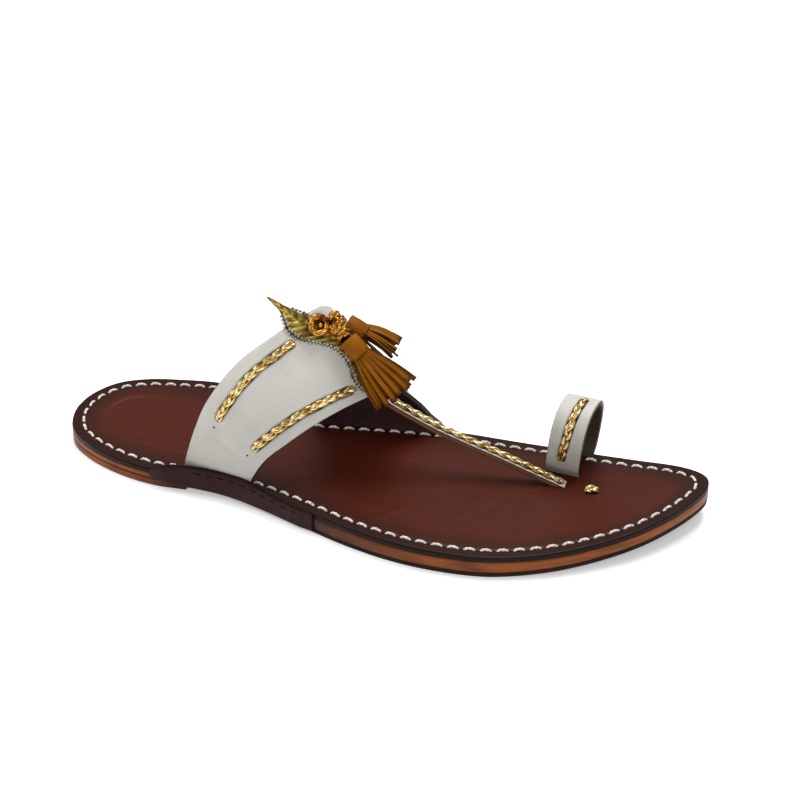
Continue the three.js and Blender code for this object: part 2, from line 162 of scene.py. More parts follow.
def smooth_curve(points, closed=False, steps=12):
    """Samples of the centripetal Catmull-Rom curve through the points."""
    pts = np.asarray(points, float)
    if closed:
        pts = np.vstack([pts[-1], pts, pts[:2]])
    else:
        pts = np.vstack([2 * pts[0] - pts[1], pts, 2 * pts[-1] - pts[-2]])
    out = []
    for p0, p1, p2, p3 in zip(pts, pts[1:], pts[2:], pts[3:]):
        gaps = [math.sqrt(np.linalg.norm(b - a)) for a, b in ((p0, p1), (p1, p2), (p2, p3))]
        knots = np.cumsum([0, *gaps])
        for t in np.linspace(knots[1], knots[2], steps, endpoint=False):
            def between(a, b, i, j):
                return ((knots[j] - t) * a + (t - knots[i]) * b) / (knots[j] - knots[i])

            a1, a2, a3 = between(p0, p1, 0, 1), between(p1, p2, 1, 2), between(p2, p3, 2, 3)
            out.append(between(between(a1, a2, 0, 2), between(a2, a3, 1, 3), 1, 2))
    if not closed:
        out.append(pts[-2])
    return np.array(out)


EDGE_STEPS = 40
outline = smooth_curve([HEEL_END, *LATERAL_EDGE, TOE_END, *MEDIAL_EDGE[::-1]], closed=True,
                       steps=EDGE_STEPS)
toe_index = (len(LATERAL_EDGE) + 1) * EDGE_STEPS
lateral_side = outline[:toe_index + 1]
medial_side = np.vstack([outline[toe_index:], outline[:1]])[::-1]


def edge_at(side, along):
    """How far across the outline is on one side, at a distance along the sole."""
    line = lateral_side if side == "lateral" else medial_side
    return np.interp(along, line[:, 0], line[:, 1])


def edges_at(marks):
    """Points of the outline's lateral and medial side at the same distances along the sole."""
    return [np.stack([marks, edge_at(side, marks)], 1) for side in ("lateral", "medial")]


midsole_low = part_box("midsole")[0]
END_FLAT = 0.12  # the CAD layers stop this far from the heel end
LAST = np.array([midsole_low.x * 1000 - END_FLAT, midsole_low.y * 1000 - outline[:, 1].min(), 0])


def in_frame(points):
    """Millimetres on the last to metres in the frame."""
    return (np.asarray(points, float) + LAST) / 1000


# ------------------------------------------------------------------ heel lift, outsole and midsole
# Three layers of thick vegetable-tanned cowhide, cemented and then stitched by hand. The lift and
# the midsole are left tan with their cut edges burnished; the thin outsole is darkened.

HEEL_BREAST = 66
TREAD_START, TREAD_END = 130, 195
HEEL_HEIGHT, FORE_HEIGHT = 7.8, 9
WAIST_RISE = 1.5
TOE_SPRING, BED_SPRING, BED_SPRING_START = 7, 6, 200
TOP_SOLE_THICK, OUTSOLE_THICK = 2, 1.8


def ease(value, start, end):
    share = np.clip((value - start) / (end - start), 0, 1)
    return share * share * (3 - 2 * share)


def toe_rise(along, start, rise):
    return rise * np.clip((along - start) / (TOE_END[0] - start), 0, None) ** 2


def bed_top(along):
    heights = HEEL_HEIGHT + (FORE_HEIGHT - HEEL_HEIGHT) * ease(along, 50, TREAD_START)
    return heights + toe_rise(along, BED_SPRING_START, BED_SPRING)


def bed_underside(along):
    return bed_top(along) - TOP_SOLE_THICK


def outsole_bottom(along):
    waist = WAIST_RISE * (1 - ease(along, HEEL_BREAST, TREAD_START))
    return waist + toe_rise(along, TREAD_END, TOE_SPRING)


def outsole_top(along):
    return outsole_bottom(along) + OUTSOLE_THICK


def stations(start, end, round_steps=44, round_reach=26, step=1.6):
    """Distances along the sole, closer together at its round ends."""
    turn = round_reach * (1 - np.cos(np.linspace(0, math.pi / 2, round_steps)))
    straight = np.arange(round_reach, TOE_END[0] - round_reach, step)
    marks = np.unique(np.round(np.concatenate([turn, TOE_END[0] - turn, straight]), 4))
    inside = marks[(marks > start + 0.3 * (start > 0)) & (marks < end - 0.3 * (end < TOE_END[0]))]
    return np.unique(np.concatenate([[start], inside, [end]]))


def normalised(vectors):
    return vectors / np.linalg.norm(vectors, axis=-1, keepdims=True)


def insetted(loop, inset):
    """A closed loop moved inwards; loops run lateral side first, so inwards is to the left."""
    ahead = np.roll(loop, -1, 0) - np.roll(loop, 1, 0)
    return loop + inset * normalised(np.stack([-ahead[:, 1], ahead[:, 0]], 1))


def add_object(name, points, faces, material, merge=1e-6, **attributes):
    """A closed mesh in the frame, from points on the last. An attribute has a value for each point."""
    mesh = bpy.data.meshes.new(name)
    mesh.from_pydata([tuple(p) for p in in_frame(points)], [], [tuple(int(i) for i in f) for f in faces])
    mesh.materials.append(material)
    for key, values in attributes.items():
        attribute = mesh.attributes.new(key, "FLOAT", "POINT")
        attribute.data.foreach_set("value", np.asarray(values, np.float32))
    shape = bmesh.new()
    shape.from_mesh(mesh)
    bmesh.ops.remove_doubles(shape, verts=shape.verts, dist=merge)
    bmesh.ops.dissolve_degenerate(shape, edges=shape.edges, dist=merge)
    bmesh.ops.recalc_face_normals(shape, faces=shape.faces)
    if shape.calc_volume(signed=True) < 0:
        bmesh.ops.reverse_faces(shape, faces=shape.faces)
    shape.to_mesh(mesh)
    shape.free()
    mesh.shade_smooth()
    piece = bpy.data.objects.new(name, mesh)
    bpy.context.scene.collection.objects.link(piece)
    return piece


def belongs(piece, slot, *nodes):
    """The shoe has one body. A piece stands for CAD nodes, which are hidden. The slot is not used."""
    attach(piece, "root")
    if nodes:
        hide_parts(*nodes)


def add_part(name, part, material, slot, *nodes, value="edge", merge=1e-6):
    """A piece from its points, its faces and a named value for each point."""
    points, faces, values = part
    belongs(add_object(name, points, faces, material, merge, **{value: values}), slot, *nodes)


ACROSS_STEPS = 10


def sole_layer(start, end, bottom, top, rim=0.3):
    """Points, faces and side heights of one flat layer with slightly rounded edges."""
    marks = stations(start, end)
    lateral, medial = edges_at(marks)
    shares = np.linspace(0, 1, ACROSS_STEPS + 1)
    grid = lateral[:, None] + shares[None, :, None] * (medial - lateral)[:, None]
    count = len(marks)
    ring = ([(i, 0) for i in range(count)] + [(count - 1, j) for j in range(1, ACROSS_STEPS + 1)]
            + [(i, ACROSS_STEPS) for i in range(count - 2, -1, -1)]
            + [(0, j) for j in range(ACROSS_STEPS - 1, 0, -1)])
    loop = np.array([grid[i, j] for i, j in ring])
    points, faces, side = [], [], []

    def add_cap(height, flip):
        shrink = np.clip(1 - 2 * rim / np.maximum(medial[:, 1] - lateral[:, 1], 4 * rim), 0, 1)
        centre = (lateral + medial)[:, None] / 2
        flat = centre + (grid - centre) * shrink[:, None, None]
        first = len(points)
        for i in range(count):
            for j in range(ACROSS_STEPS + 1):
                points.append((*flat[i, j], height(flat[i, j, 0])))
                side.append(float(flip))
        for i in range(count - 1):
            for j in range(ACROSS_STEPS):
                a = first + i * (ACROSS_STEPS + 1) + j
                b = a + ACROSS_STEPS + 1
                faces.append((a, b, b + 1, a + 1) if flip else (a, a + 1, b + 1, b))
        return [first + i * (ACROSS_STEPS + 1) + j for i, j in ring]

    low = add_cap(bottom, False)
    rings = [low]
    for height, share in ((lambda x: bottom(x) + rim, 0.0), (lambda x: top(x) - rim, 1.0)):
        rings.append([len(points) + k for k in range(len(loop))])
        points.extend((*p, height(p[0])) for p in loop)
        side.extend([share] * len(loop))
    rings.append(add_cap(top, True))
    for lower, upper in zip(rings, rings[1:]):
        for k in range(len(loop)):
            m = (k + 1) % len(loop)
            faces.append((lower[k], lower[m], upper[m], upper[k]))
    return np.array(points), faces, side


def object_place(tree):
    return node(tree, "ShaderNodeTexCoord").outputs["Object"]


def stretched(tree, place, scale, turn=0.0):
    """Places drawn out by a scale for each axis, for streaks."""
    return node(tree, "ShaderNodeMapping",
                {"Vector": place, "Scale": scale, "Rotation": (0, 0, turn)}).outputs[0]


def noise(tree, place, scale, detail, roughness=0.5, distortion=0.0):
    return node(tree, "ShaderNodeTexNoise", {
        "Vector": place, "Scale": scale, "Detail": detail, "Roughness": roughness,
        "Distortion": distortion}).outputs["Fac"]


def pores(tree, place, scale):
    cells = node(tree, "ShaderNodeTexVoronoi", {"Vector": place, "Scale": scale}, feature="SMOOTH_F1")
    return cells.outputs["Distance"]


def sums(tree, operation, *values):
    return node(tree, "ShaderNodeMath", dict(enumerate(values)), operation=operation).outputs[0]


def remap(tree, value, low, high, to_low=0.0, to_high=1.0):
    return node(tree, "ShaderNodeMapRange", {
        "Value": value, "From Min": low, "From Max": high, "To Min": to_low,
        "To Max": to_high}).outputs[0]


def mixed(tree, share, first, second):
    """From the first colour to the second. A colour is a hex colour or a socket."""
    first, second = (linear(c) if isinstance(c, str) else c for c in (first, second))
    return node(tree, "ShaderNodeMix", {"Factor": share, 6: first, 7: second}, data_type="RGBA").outputs[2]


def ramp(tree, value, *stops):
    """A colour for a value, from stops that are a position and a hex colour each."""
    made = node(tree, "ShaderNodeValToRGB", {"Fac": value})
    elements = made.color_ramp.elements
    elements[0].position, elements[1].position = stops[0][0], stops[-1][0]
    for position, _ in stops[1:-1]:
        elements.new(position)
    for element, (_, colour) in zip(elements, stops):
        element.color = linear(colour)
    return made.outputs["Color"]


def carried(tree, name):
    """A value that the mesh carries at each point."""
    return node(tree, "ShaderNodeAttribute", attribute_name=name).outputs["Fac"]


def bumped(tree, height, strength, distance):
    return node(tree, "ShaderNodeBump",
                {"Height": height, "Strength": strength, "Distance": distance}).outputs[0]


def cut_edge_leather(name, tan, stain, roughness):
    """Vegetable-tanned cowhide seen on its burnished cut edge: long streaks of the compressed fibre
    along the edge, darker where the stain has run in next to the neighbouring layers."""
    material, tree = new_material(name)
    place = object_place(tree)
    streaks = noise(tree, stretched(tree, place, (45, 45, 900)), 1.0, 6.0, 0.62)
    blots = noise(tree, place, 70.0, 3.0)
    fibre = ramp(tree, sums(tree, "MULTIPLY", streaks, blots), (0.06, stain), (0.3, tan))
    off_middle = sums(tree, "ABSOLUTE", sums(tree, "SUBTRACT", carried(tree, "side"), 0.5))
    near_seam = remap(tree, off_middle, 0.41, 0.5, 0.0, 0.7)
    along = node(tree, "ShaderNodeSeparateXYZ", {0: place}).outputs[0]
    past_heel = remap(tree, along, -0.098, -0.064)
    waist = remap(tree, along, 0.0, 0.05, 0.85, 0.0)
    stained = sums(tree, "MAXIMUM", near_seam, sums(tree, "MULTIPLY", past_heel, waist))
    surface(tree, Base_Color=mixed(tree, stained, fibre, stain), Roughness=roughness,
            Normal=bumped(tree, streaks, 0.5, 0.0003), Specular_IOR_Level=0.2)
    return material


def leather(name, face, dark, edge_paint_and_shade="#1a100c", grain=0.45, relief=0.06, roughness=0.5, mottle=22,
            contrast=0.5, shine=0.2, crinkle=0.0, dust_and_shade=0.0):
    """Grained leather in Object coordinates: pores of the grain size, a soft mottling between two
    tones, and edge paint wherever the mesh says that it is a cut edge. Where the mesh marks a braid's
    channel, the same dark colour is painted shade. Sizes are in millimetres."""
    material, tree = new_material(name)
    place = object_place(tree)
    patches = noise(tree, place, 1000 / mottle, 5.0, 0.6, 0.3)
    tone = remap(tree, patches, 0.5 - contrast / 2, 0.5 + contrast / 2)
    fine = noise(tree, place, 2200 / grain, 2.0)
    skin = node(tree, "ShaderNodeMix",
                {"Factor": 0.35, 2: pores(tree, place, 1000 / grain), 3: fine}).outputs[0]
    fold = noise(tree, place, 520.0, 3.0, distortion=1.2)
    height = sums(tree, "MULTIPLY_ADD", fold, crinkle, skin)
    colour = mixed(tree, tone, dark, face)
    colour = mixed(tree, remap(tree, skin, 0.2, 0.62, 0.22, 0.0), colour, dark)
    if dust_and_shade:  # dust and painted shade: darker towards the floor
        above_floor = node(tree, "ShaderNodeSeparateXYZ", {0: place}).outputs[2]
        colour = mixed(tree, remap(tree, above_floor, 0.008, 0.05, dust_and_shade, 0.0), colour, "#8f8b84")
    colour = mixed(tree, carried(tree, "edge"), colour, edge_paint_and_shade)
    gloss = remap(tree, patches, 0.3, 0.7, roughness + 0.07, roughness - 0.07)
    surface(tree, Base_Color=colour, Roughness=gloss, Normal=bumped(tree, height, 1.0, relief / 1000),
            Specular_IOR_Level=shine)
    return material


tan_edge = cut_edge_leather("burnished_tan_edge", "#82420f", "#220e06", 0.42)
dark_sole = leather("darkened_sole_leather", "#2e1f18", "#1c120d", grain=0.9, relief=0.08, roughness=0.62,
                    edge_paint_and_shade="#1e130d", shine=0.1)

GLUE_GAP = 0.02  # keeps the faces of glued layers apart
add_part("heel_lift_leather", sole_layer(0, HEEL_BREAST, lambda x: 0 * x, outsole_top), tan_edge,
         "tan_leather", "heel_lift", value="side")
add_part("outsole_leather", sole_layer(HEEL_BREAST + 0.2, TOE_END[0], outsole_bottom, outsole_top), dark_sole,
         "dark_leather", "outsole", value="side")
midsole = sole_layer(0, TOE_END[0], lambda x: outsole_top(x) + GLUE_GAP,
                     lambda x: bed_underside(x) - GLUE_GAP)
add_part("midsole_leather", midsole, tan_edge, "tan_leather", "midsole", value="side")

# ------------------------------------------------------------------ foot bed
# The top sole is 2 mm cowhide, dyed red-brown, waxed and burnished by hand, with its edge painted
# black. A channel for the hand stitching runs round it and an oval is pressed into the heel seat.

STITCH_INSET = 4.8
CHANNEL_DEPTH, CHANNEL_HALF = 0.32, 0.62
RIM_INSETS = [0.5, 1.2, 2.4, 3.6, 4.1, 4.45, 4.8, 5.15, 5.5, 6.2]
SEAT_LINE, SEAT_LINE_HALF, SEAT_DEPTH = 0.37, 0.04, 0.34
SPINE_START, SPINE_END = 26, 240
CUT_EDGE = [  # rings of the cut edge from below: inset, drop from the top, stain
    (0.3, TOP_SOLE_THICK - 0.02, 1.0), (0.0, TOP_SOLE_THICK - 0.35, 1.0), (0.0, 0.55, 1.0),
    (0.12, 0.2, 1.0), (0.32, 0.05, 0.75)]
HOLLOWS = [  # along, across, reach along, reach across, depth: heel, ball, and a ridge at the toes
    (36, -3, 24, 19, 0.9), (178, -6, 34, 26, 0.6), (205, 4, 7, 30, -0.35)]
CREASES = [  # along, across, turn from the across direction in degrees, half length, depth, half width
    (118, -14, 24, 17, 0.28, 1.7), (126, -6, 18, 20, 0.2, 1.5), (176, -18, 12, 15, 0.16, 1.8),
    (188, -8, 16, 18, 0.14, 1.6), (150, -28, 30, 9, 0.18, 1.3), (84, -2, -8, 13, 0.2, 1.6),
    (96, 3, -14, 12, 0.16, 1.4)]


def bed_relief(points, inward):
    """Wear and pressing of the foot bed: hollows under heel and ball, the seat's line and creases."""
    x, y = points[:, 0], points[:, 1]
    lift = np.zeros(len(points))
    for along, across, long, wide, depth in HOLLOWS:
        lift -= depth * np.exp(-((x - along) / long) ** 2 - ((y - across) / wide) ** 2)
    lift -= SEAT_DEPTH * np.exp(-((inward - SEAT_LINE) / SEAT_LINE_HALF) ** 2) * (1 - ease(x, 62, 78))
    lift += 0.07 * np.sin(x / 9.1 + 0.4 * np.sin(y / 7)) * np.sin(y / 8.3 + 1) * (inward > 0.05)
    for along, across, turn, half_long, depth, half_wide in CREASES:
        c, s = math.cos(math.radians(turn)), math.sin(math.radians(turn))
        run = (y - across) * c + (x - along) * s
        off = (x - along) * c - (y - across) * s + 0.012 * run ** 2
        fade = np.exp(-(run / half_long) ** 2)
        lip = 0.5 * np.exp(-((off - 2.4) / half_wide) ** 2)
        lift -= depth * fade * (np.exp(-(off / half_wide) ** 2) - lip)
    return lift


marks = stations(0, TOE_END[0])
lateral, medial = edges_at(marks)
loop = np.vstack([lateral, medial[-2:0:-1]])
spine = sum(edges_at(np.clip(marks, SPINE_START, SPINE_END))) / 2
spine_loop = np.vstack([spine, spine[-2:0:-1]])
rings, edge, inward = [], [], []


def add_ring(plan, lift, stain, share):
    """A ring of the foot bed at a height over it, how dark it is and how far inwards it lies."""
    rings.append(np.column_stack([plan, bed_top(plan[:, 0]) + lift]))
    edge.extend([stain] * len(plan))
    inward.extend([share] * len(plan))


for inset, drop, stain in CUT_EDGE:
    add_ring(insetted(loop, inset), -drop, stain, -0.1)
for inset in RIM_INSETS:
    channel = CHANNEL_DEPTH * math.exp(-((inset - STITCH_INSET) / CHANNEL_HALF) ** 2)
    stain = 0.9 * math.exp(-((inset - STITCH_INSET) / 0.6) ** 2)
    add_ring(insetted(loop, inset), -channel, max(stain, 0.4 if inset < STITCH_INSET else 0.1), 0.0)
rim_plan = insetted(loop, RIM_INSETS[-1])
seat_shares = SEAT_LINE + np.linspace(-0.045, 0.045, 9)
for share in np.unique(np.concatenate([np.linspace(0, 1, 30)[1:], seat_shares])):
    plan = rim_plan + share * (spine_loop - rim_plan)
    relief = bed_relief(plan, np.full(len(plan), share)) * ease(share, 0, 0.14)
    add_ring(plan, relief, 0.0, float(share))


def ring_faces(ring_count, size):
    """Quads between rings of points that follow one another in a list."""
    return [(r * size + k, r * size + (k + 1) % size, (r + 1) * size + (k + 1) % size, (r + 1) * size + k)
            for r in range(ring_count - 1) for k in range(size)]


around = len(loop)
underside = [(i, -i % around, around - i - 1, i + 1) for i in range(len(marks) - 1)]
faces = [tuple(dict.fromkeys(f)) for f in ring_faces(len(rings), around) + underside]
faces = [f for f in faces if len(f) > 2]


def burnished_leather(name):
    """Dyed cowhide, waxed and rubbed by hand: cloudy, redder inwards, with fine strokes."""
    material, tree = new_material(name)
    place = object_place(tree)
    clouds = noise(tree, place, 34.0, 6.0, 0.58, 0.4)
    burnish = remap(tree, carried(tree, "inward"), 0.0, 0.42, 0.0, 0.62)
    wax = ramp(tree, sums(tree, "MULTIPLY_ADD", clouds, 0.9, burnish),
               (0.3, "#2f110a"), (0.62, "#3b1409"), (1.0, "#481a0d"))
    strokes = noise(tree, stretched(tree, place, (60, 420, 60), 0.5), 1.0, 4.0)
    skin = sums(tree, "MULTIPLY_ADD", strokes, 0.5, pores(tree, place, 1700.0))
    toned = mixed(tree, remap(tree, strokes, 0.35, 0.7, 0.0, 0.12), wax, "#260d07")
    surface(tree, Base_Color=mixed(tree, carried(tree, "edge"), toned, "#080302"),
            Roughness=remap(tree, clouds, 0.3, 0.7, 0.5, 0.36),
            Normal=bumped(tree, skin, 0.8, 0.00005), Specular_IOR_Level=0.12)
    return material


foot_bed = add_object("foot_bed", np.vstack(rings), faces, burnished_leather("burnished_foot_bed"),
                      edge=edge, inward=inward)
belongs(foot_bed, "brown_leather", "top_sole")

# ------------------------------------------------------------------ hand stitching of the sole
# Waxed off-white linen thread, two-ply, in saddle stitch through all the layers: about four stitches
# to the inch, each lying in the channel with its ends pulled down into an awl hole.

STITCH_PITCH, STITCH_LONG, THREAD_HALF = 6.3, 4.6, 0.58


def tube_faces(ring_count, size):
    """Quads between rings, and a face across each end."""
    last = (ring_count - 1) * size
    return ring_faces(ring_count, size) + [tuple(range(size - 1, -1, -1)), tuple(range(last, last + size))]


def thread_unit(name, length, half, rise, turns=1.5, ply_steps=12, section=6):
    """One stitch of two-ply thread, along X with its ends dipping below the surface, in metres."""
    verts, polys = [], []
    for ply in range(2):
        first = len(verts)
        for i in range(ply_steps + 1):
            share = 2 * i / ply_steps - 1
            twist = math.pi * (turns * share + ply)
            centre = Vector((share * length / 2, math.cos(twist) * half * 0.3,
                             rise * (1 - abs(share) ** 3) - half + math.sin(twist) * half * 0.22))
            for k in range(section):
                turn = 2 * math.pi * k / section
                ring = Vector((0, math.cos(turn), math.sin(turn))) * half * 0.8
                verts.append((centre + ring) / 1000)
        polys += [tuple(first + v for v in f) for f in tube_faces(ply_steps + 1, section)]
    mesh = bpy.data.meshes.new(name)
    mesh.from_pydata(verts, [], polys)
    mesh.shade_smooth()
    return bpy.data.objects.new(name, mesh)


def repeat_tree():
    """Geometry Nodes that set a unit along a path at an even pitch, standing on the path's up vector."""
    tree = bpy.data.node_groups.new("set_along_path", "GeometryNodeTree")
    sockets = (("Geometry", "NodeSocketGeometry"), ("Unit", "NodeSocketObject"), ("Pitch", "NodeSocketFloat"),
               ("Sway", "NodeSocketFloat"), ("Seed", "NodeSocketInt"), ("Material", "NodeSocketMaterial"))
    for name, kind in sockets:
        tree.interface.new_socket(name=name, in_out="INPUT", socket_type=kind)
    tree.interface.new_socket(name="Geometry", in_out="OUTPUT", socket_type="NodeSocketGeometry")
    given = node(tree, "NodeGroupInput").outputs
    path = node(tree, "GeometryNodeMeshToCurve", {0: given["Geometry"]})
    even = node(tree, "GeometryNodeResampleCurve", {"Curve": path.outputs[0], "Length": given["Pitch"]},
                mode="LENGTH")
    up = node(tree, "GeometryNodeInputNamedAttribute", {"Name": "up"}, data_type="FLOAT_VECTOR")
    tangent = node(tree, "GeometryNodeInputTangent")
    forward = node(tree, "FunctionNodeAlignRotationToVector", {"Vector": tangent.outputs[0]}, axis="X")
    upright = node(tree, "FunctionNodeAlignRotationToVector",
                   {"Rotation": forward.outputs[0], "Vector": up.outputs["Attribute"]}, axis="Z",
                   pivot_axis="X")
    least = sums(tree, "MULTIPLY", given["Sway"], -1.0)
    sway = node(tree, "FunctionNodeRandomValue",
                {2: least, 3: given["Sway"], "Seed": given["Seed"]}, data_type="FLOAT")
    turn = node(tree, "ShaderNodeCombineXYZ", {"Z": sway.outputs[1]})
    turned = node(tree, "FunctionNodeRotateRotation", {"Rotation": upright.outputs[0]},
                  rotation_space="LOCAL")
    euler = node(tree, "FunctionNodeEulerToRotation", {0: turn.outputs[0]})
    tree.links.new(euler.outputs[0], turned.inputs[1])
    unit = node(tree, "GeometryNodeObjectInfo", {"Object": given["Unit"]})
    placed = node(tree, "GeometryNodeInstanceOnPoints", {
        "Points": even.outputs[0], "Instance": unit.outputs["Geometry"], "Rotation": turned.outputs[0]})
    real = node(tree, "GeometryNodeRealizeInstances", {0: placed.outputs[0]})
    dressed = node(tree, "GeometryNodeSetMaterial",
                   {"Geometry": real.outputs[0], "Material": given["Material"]})
    node(tree, "NodeGroupOutput", {0: dressed.outputs[0]})
    return tree


set_along_path = repeat_tree()


def repeated(name, runs, unit, pitch, material, sway=0.0, seed=1):
    """A plain mesh of the unit set along each run, a list of (points, ups, closed) on the last."""
    verts, edges, ups = [], [], []
    for points, up, closed in runs:
        first = len(verts)
        verts += [tuple(p) for p in in_frame(points)]
        ups += [tuple(u) for u in up]
        edges += [(first + i, first + i + 1) for i in range(len(points) - 1)]
        if closed:
            edges.append((first + len(points) - 1, first))
    mesh = bpy.data.meshes.new(name + "_path")
    mesh.from_pydata(verts, edges, [])
    mesh.attributes.new("up", "FLOAT_VECTOR", "POINT").data.foreach_set("vector", np.array(ups).ravel())
    holder = bpy.data.objects.new(name, mesh)
    bpy.context.scene.collection.objects.link(holder)
    modifier = holder.modifiers.new("set along path", "NODES")
    modifier.node_group = set_along_path
    values = {"Unit": unit, "Pitch": pitch / 1000, "Sway": sway, "Seed": seed, "Material": material}
    for socket in set_along_path.interface.items_tree:
        if socket.in_out == "INPUT" and socket.name in values:
            modifier[socket.identifier] = values[socket.name]
    bpy.context.view_layer.update()
    made = bpy.data.meshes.new_from_object(holder.evaluated_get(bpy.context.evaluated_depsgraph_get()))
    holder.modifiers.clear()
    holder.data = made
    made.name = name
    if not made.materials:
        made.materials.append(material)
    bpy.data.meshes.remove(mesh)
    return holder


def thread(name, colour, dark, roughness):
    """Waxed twisted thread: a broken sheen, darker where the wax has picked up dirt."""
    material, tree = new_material(name)
    fibres = noise(tree, object_place(tree), 1500.0, 3.0)
    surface(tree, Base_Color=mixed(tree, remap(tree, fibres, 0.35, 0.6), dark, colour),
            Roughness=roughness, Normal=bumped(tree, fibres, 0.6, 0.0001), Specular_IOR_Level=0.2)
    return material


linen = thread("waxed_linen_thread", "#ece6dc", "#b3a99c", 0.5)
stitch_plan = insetted(loop, STITCH_INSET)
stitch_path = np.column_stack([stitch_plan, bed_top(stitch_plan[:, 0]) - CHANNEL_DEPTH + 0.12])
steady_up = np.tile((0.0, 0.0, 1.0), (len(stitch_path), 1))
stitches = repeated("sole_stitches", [(stitch_path, steady_up, True)],
                    thread_unit("stitch_unit", STITCH_LONG, THREAD_HALF, 1.05), STITCH_PITCH, linen,
                    sway=0.06, seed=4)
belongs(stitches, "white_leather")

# ------------------------------------------------------------------ ears
# The ears are flaps of purple-brown leather on both sides of the waist. They are glued over the
# sole's side, stand a little above the foot bed to hold the band's feet, and are sewn in black.

EAR_THICK = 1.6
EAR_LIFT = 0.8  # above the outsole's underside
EAR_TAPER, EAR_TAPER_REACH = 2.2, 16  # its lower edge rises toward its rear end
EARS = {
    "lateral": [(51.2, 7.4), (55, 10), (59.5, 11.3), (67, 11.9), (80, 12.2), (93, 12), (104, 10.4),
                (115, 9.5), (126, 8.9)],
    "medial": [(82.2, 7.4), (86, 10), (91, 11.3), (100, 12), (115, 12.2), (130, 12.2), (141, 11.6),
               (147, 10.2), (155, 8.9)]}
EAR_STEPS = 90
ear_leather = leather("purple_brown_ear_leather", "#301514", "#200d09", edge_paint_and_shade="#0a0403", grain=0.5,
                      relief=0.05, roughness=0.45, mottle=14, shine=0.1)


def ear_point(side, along, out, up):
    """A point beside the sole's edge: out is its distance from the edge, up its height."""
    slope = (edge_at(side, along + 0.8) - edge_at(side, along - 0.8)) / 1.6
    away = np.array([-slope, 1.0]) / math.hypot(slope, 1.0) * (-1 if side == "lateral" else 1)
    return np.array([along + away[0] * out, edge_at(side, along) + away[1] * out, up])


ear_tops = {}
for side, rows in EARS.items():
    top_line = smooth_curve(rows, steps=16)
    ear_tops[side] = top_line
    alongs = np.interp(np.linspace(0, 1, EAR_STEPS), np.linspace(0, 1, len(top_line)), top_line[:, 0])
    tops = np.interp(alongs, top_line[:, 0], top_line[:, 1])
    rings, paint = [], []
    for along, top in zip(alongs, tops):
        low = float(outsole_bottom(along)) + EAR_LIFT
        low += EAR_TAPER * max(0.0, 1 - (along - alongs[0]) / EAR_TAPER_REACH)
        skive = min(1.0, 0.35 + 0.65 * min(along - alongs[0], alongs[-1] - along) / 6)
        thick = EAR_THICK * skive
        lean = -0.5 * ease(top, 9.6, 12)  # the band draws the top of the ear inwards
        section = [(0.05, low), (thick * 0.75, low), (thick, low + 0.4)]
        section += [(thick + 0.12 * math.sin(math.pi * s) + lean * s ** 3, low + 0.4 + (top - low - 0.9) * s)
                    for s in np.linspace(0.12, 1, 10)]
        section += [(thick * 0.8 + lean, top - 0.1), (thick * 0.45 + lean, top), (0.1 + lean, top - 0.15),
                    (0.05, (low + top) / 2)]
        rings.append([ear_point(side, along, out, up) for out, up in section])
        last_part = len(section) - 4
        paint.append([1.0 if k >= last_part or k < 2 else 0.0 for k in range(len(section))])
    size = len(rings[0])
    paint[0] = paint[-1] = [1.0] * size
    ear = np.vstack(rings), tube_faces(len(rings), size), np.ravel(paint)
    add_part(f"ear_{side}_leather", ear, ear_leather, "ear_leather", f"ear_{side}")

black_thread = thread("black_waxed_thread", "#14100e", "#060505", 0.42)
EAR_STITCH_DROP, EAR_STITCH_PITCH = 2.6, 4.6
EAR_STITCH_SPANS = {"lateral": (72, 118), "medial": (96, 150)}
runs = []
for side, (start, end) in EAR_STITCH_SPANS.items():
    alongs = np.arange(start, end, 1.0)
    tops = np.interp(alongs, ear_tops[side][:, 0], ear_tops[side][:, 1])
    path = [ear_point(side, a, EAR_THICK + 0.1, t - EAR_STITCH_DROP) for a, t in zip(alongs, tops)]
    ups = [(0.0, -1.0 if side == "lateral" else 1.0, 0.0)] * len(path)
    runs.append((np.array(path), ups, False))
ear_stitches = repeated("ear_stitches", runs, thread_unit("ear_stitch_unit", 3.0, 0.28, 0.42),
                        EAR_STITCH_PITCH, black_thread, sway=0.05, seed=7)
belongs(ear_stitches, "ear_leather")

# ------------------------------------------------------------------ instep band
# The upper: 1.3 mm off-white grain leather on a dark lining of the same weight, cut as one wide band
# that leans forward over the instep. The gold braids lie in shallow channels pressed into it.

BAND_ROWS = np.array([  # rear edge, then front edge of each rib, from the outer foot to the inner
    (64.6, -32.9, 7.2, 94, -34.2, 7.4), (66, -33.4, 14, 96, -34.6, 13.5),
    (69.6, -31.8, 27.2, 101, -32.2, 21.8), (74.5, -28.2, 40.4, 108, -28, 28.3),
    (84, -21, 55, 115, -21.5, 33.8), (94.4, -12.2, 64, 123.8, -11.7, 38.7),
    (104.2, 1.5, 70.4, 131.5, -0.5, 41), (107.5, 9, 71, 134.5, 6.5, 41.5),
    (108.6, 15, 66.5, 137, 14, 38.5), (106.5, 18.6, 57, 139, 21, 31.8),
    (102.6, 20.4, 44, 141.6, 27.5, 24.2), (99.6, 21.2, 28, 144.5, 31.5, 17.5),
    (97.6, 21.2, 14, 148.5, 33.8, 12.4), (97, 20.6, 7.4, 150, 33.4, 7.6)])
LAST_ROW = len(BAND_ROWS) - 1
BAND_WALL, LINING_THICK = 2.6, 1.5
SKIN_THICK = BAND_WALL - LINING_THICK
BAND_CROWN = 1.2
BRAIDS = {  # where each braid starts and ends, as a row of the band and a share from rear to front
    "lateral_rear": ((2.6, 0.22), (5.36, 0.16)), "lateral_front": ((2.15, 0.79), (5.76, 0.87)),
    "medial_rear": ((10.4, 0.22), (7.6, 0.15)), "medial_front": ((10.8, 0.8), (7.3, 0.87))}
BRAID_HALF = 1.65


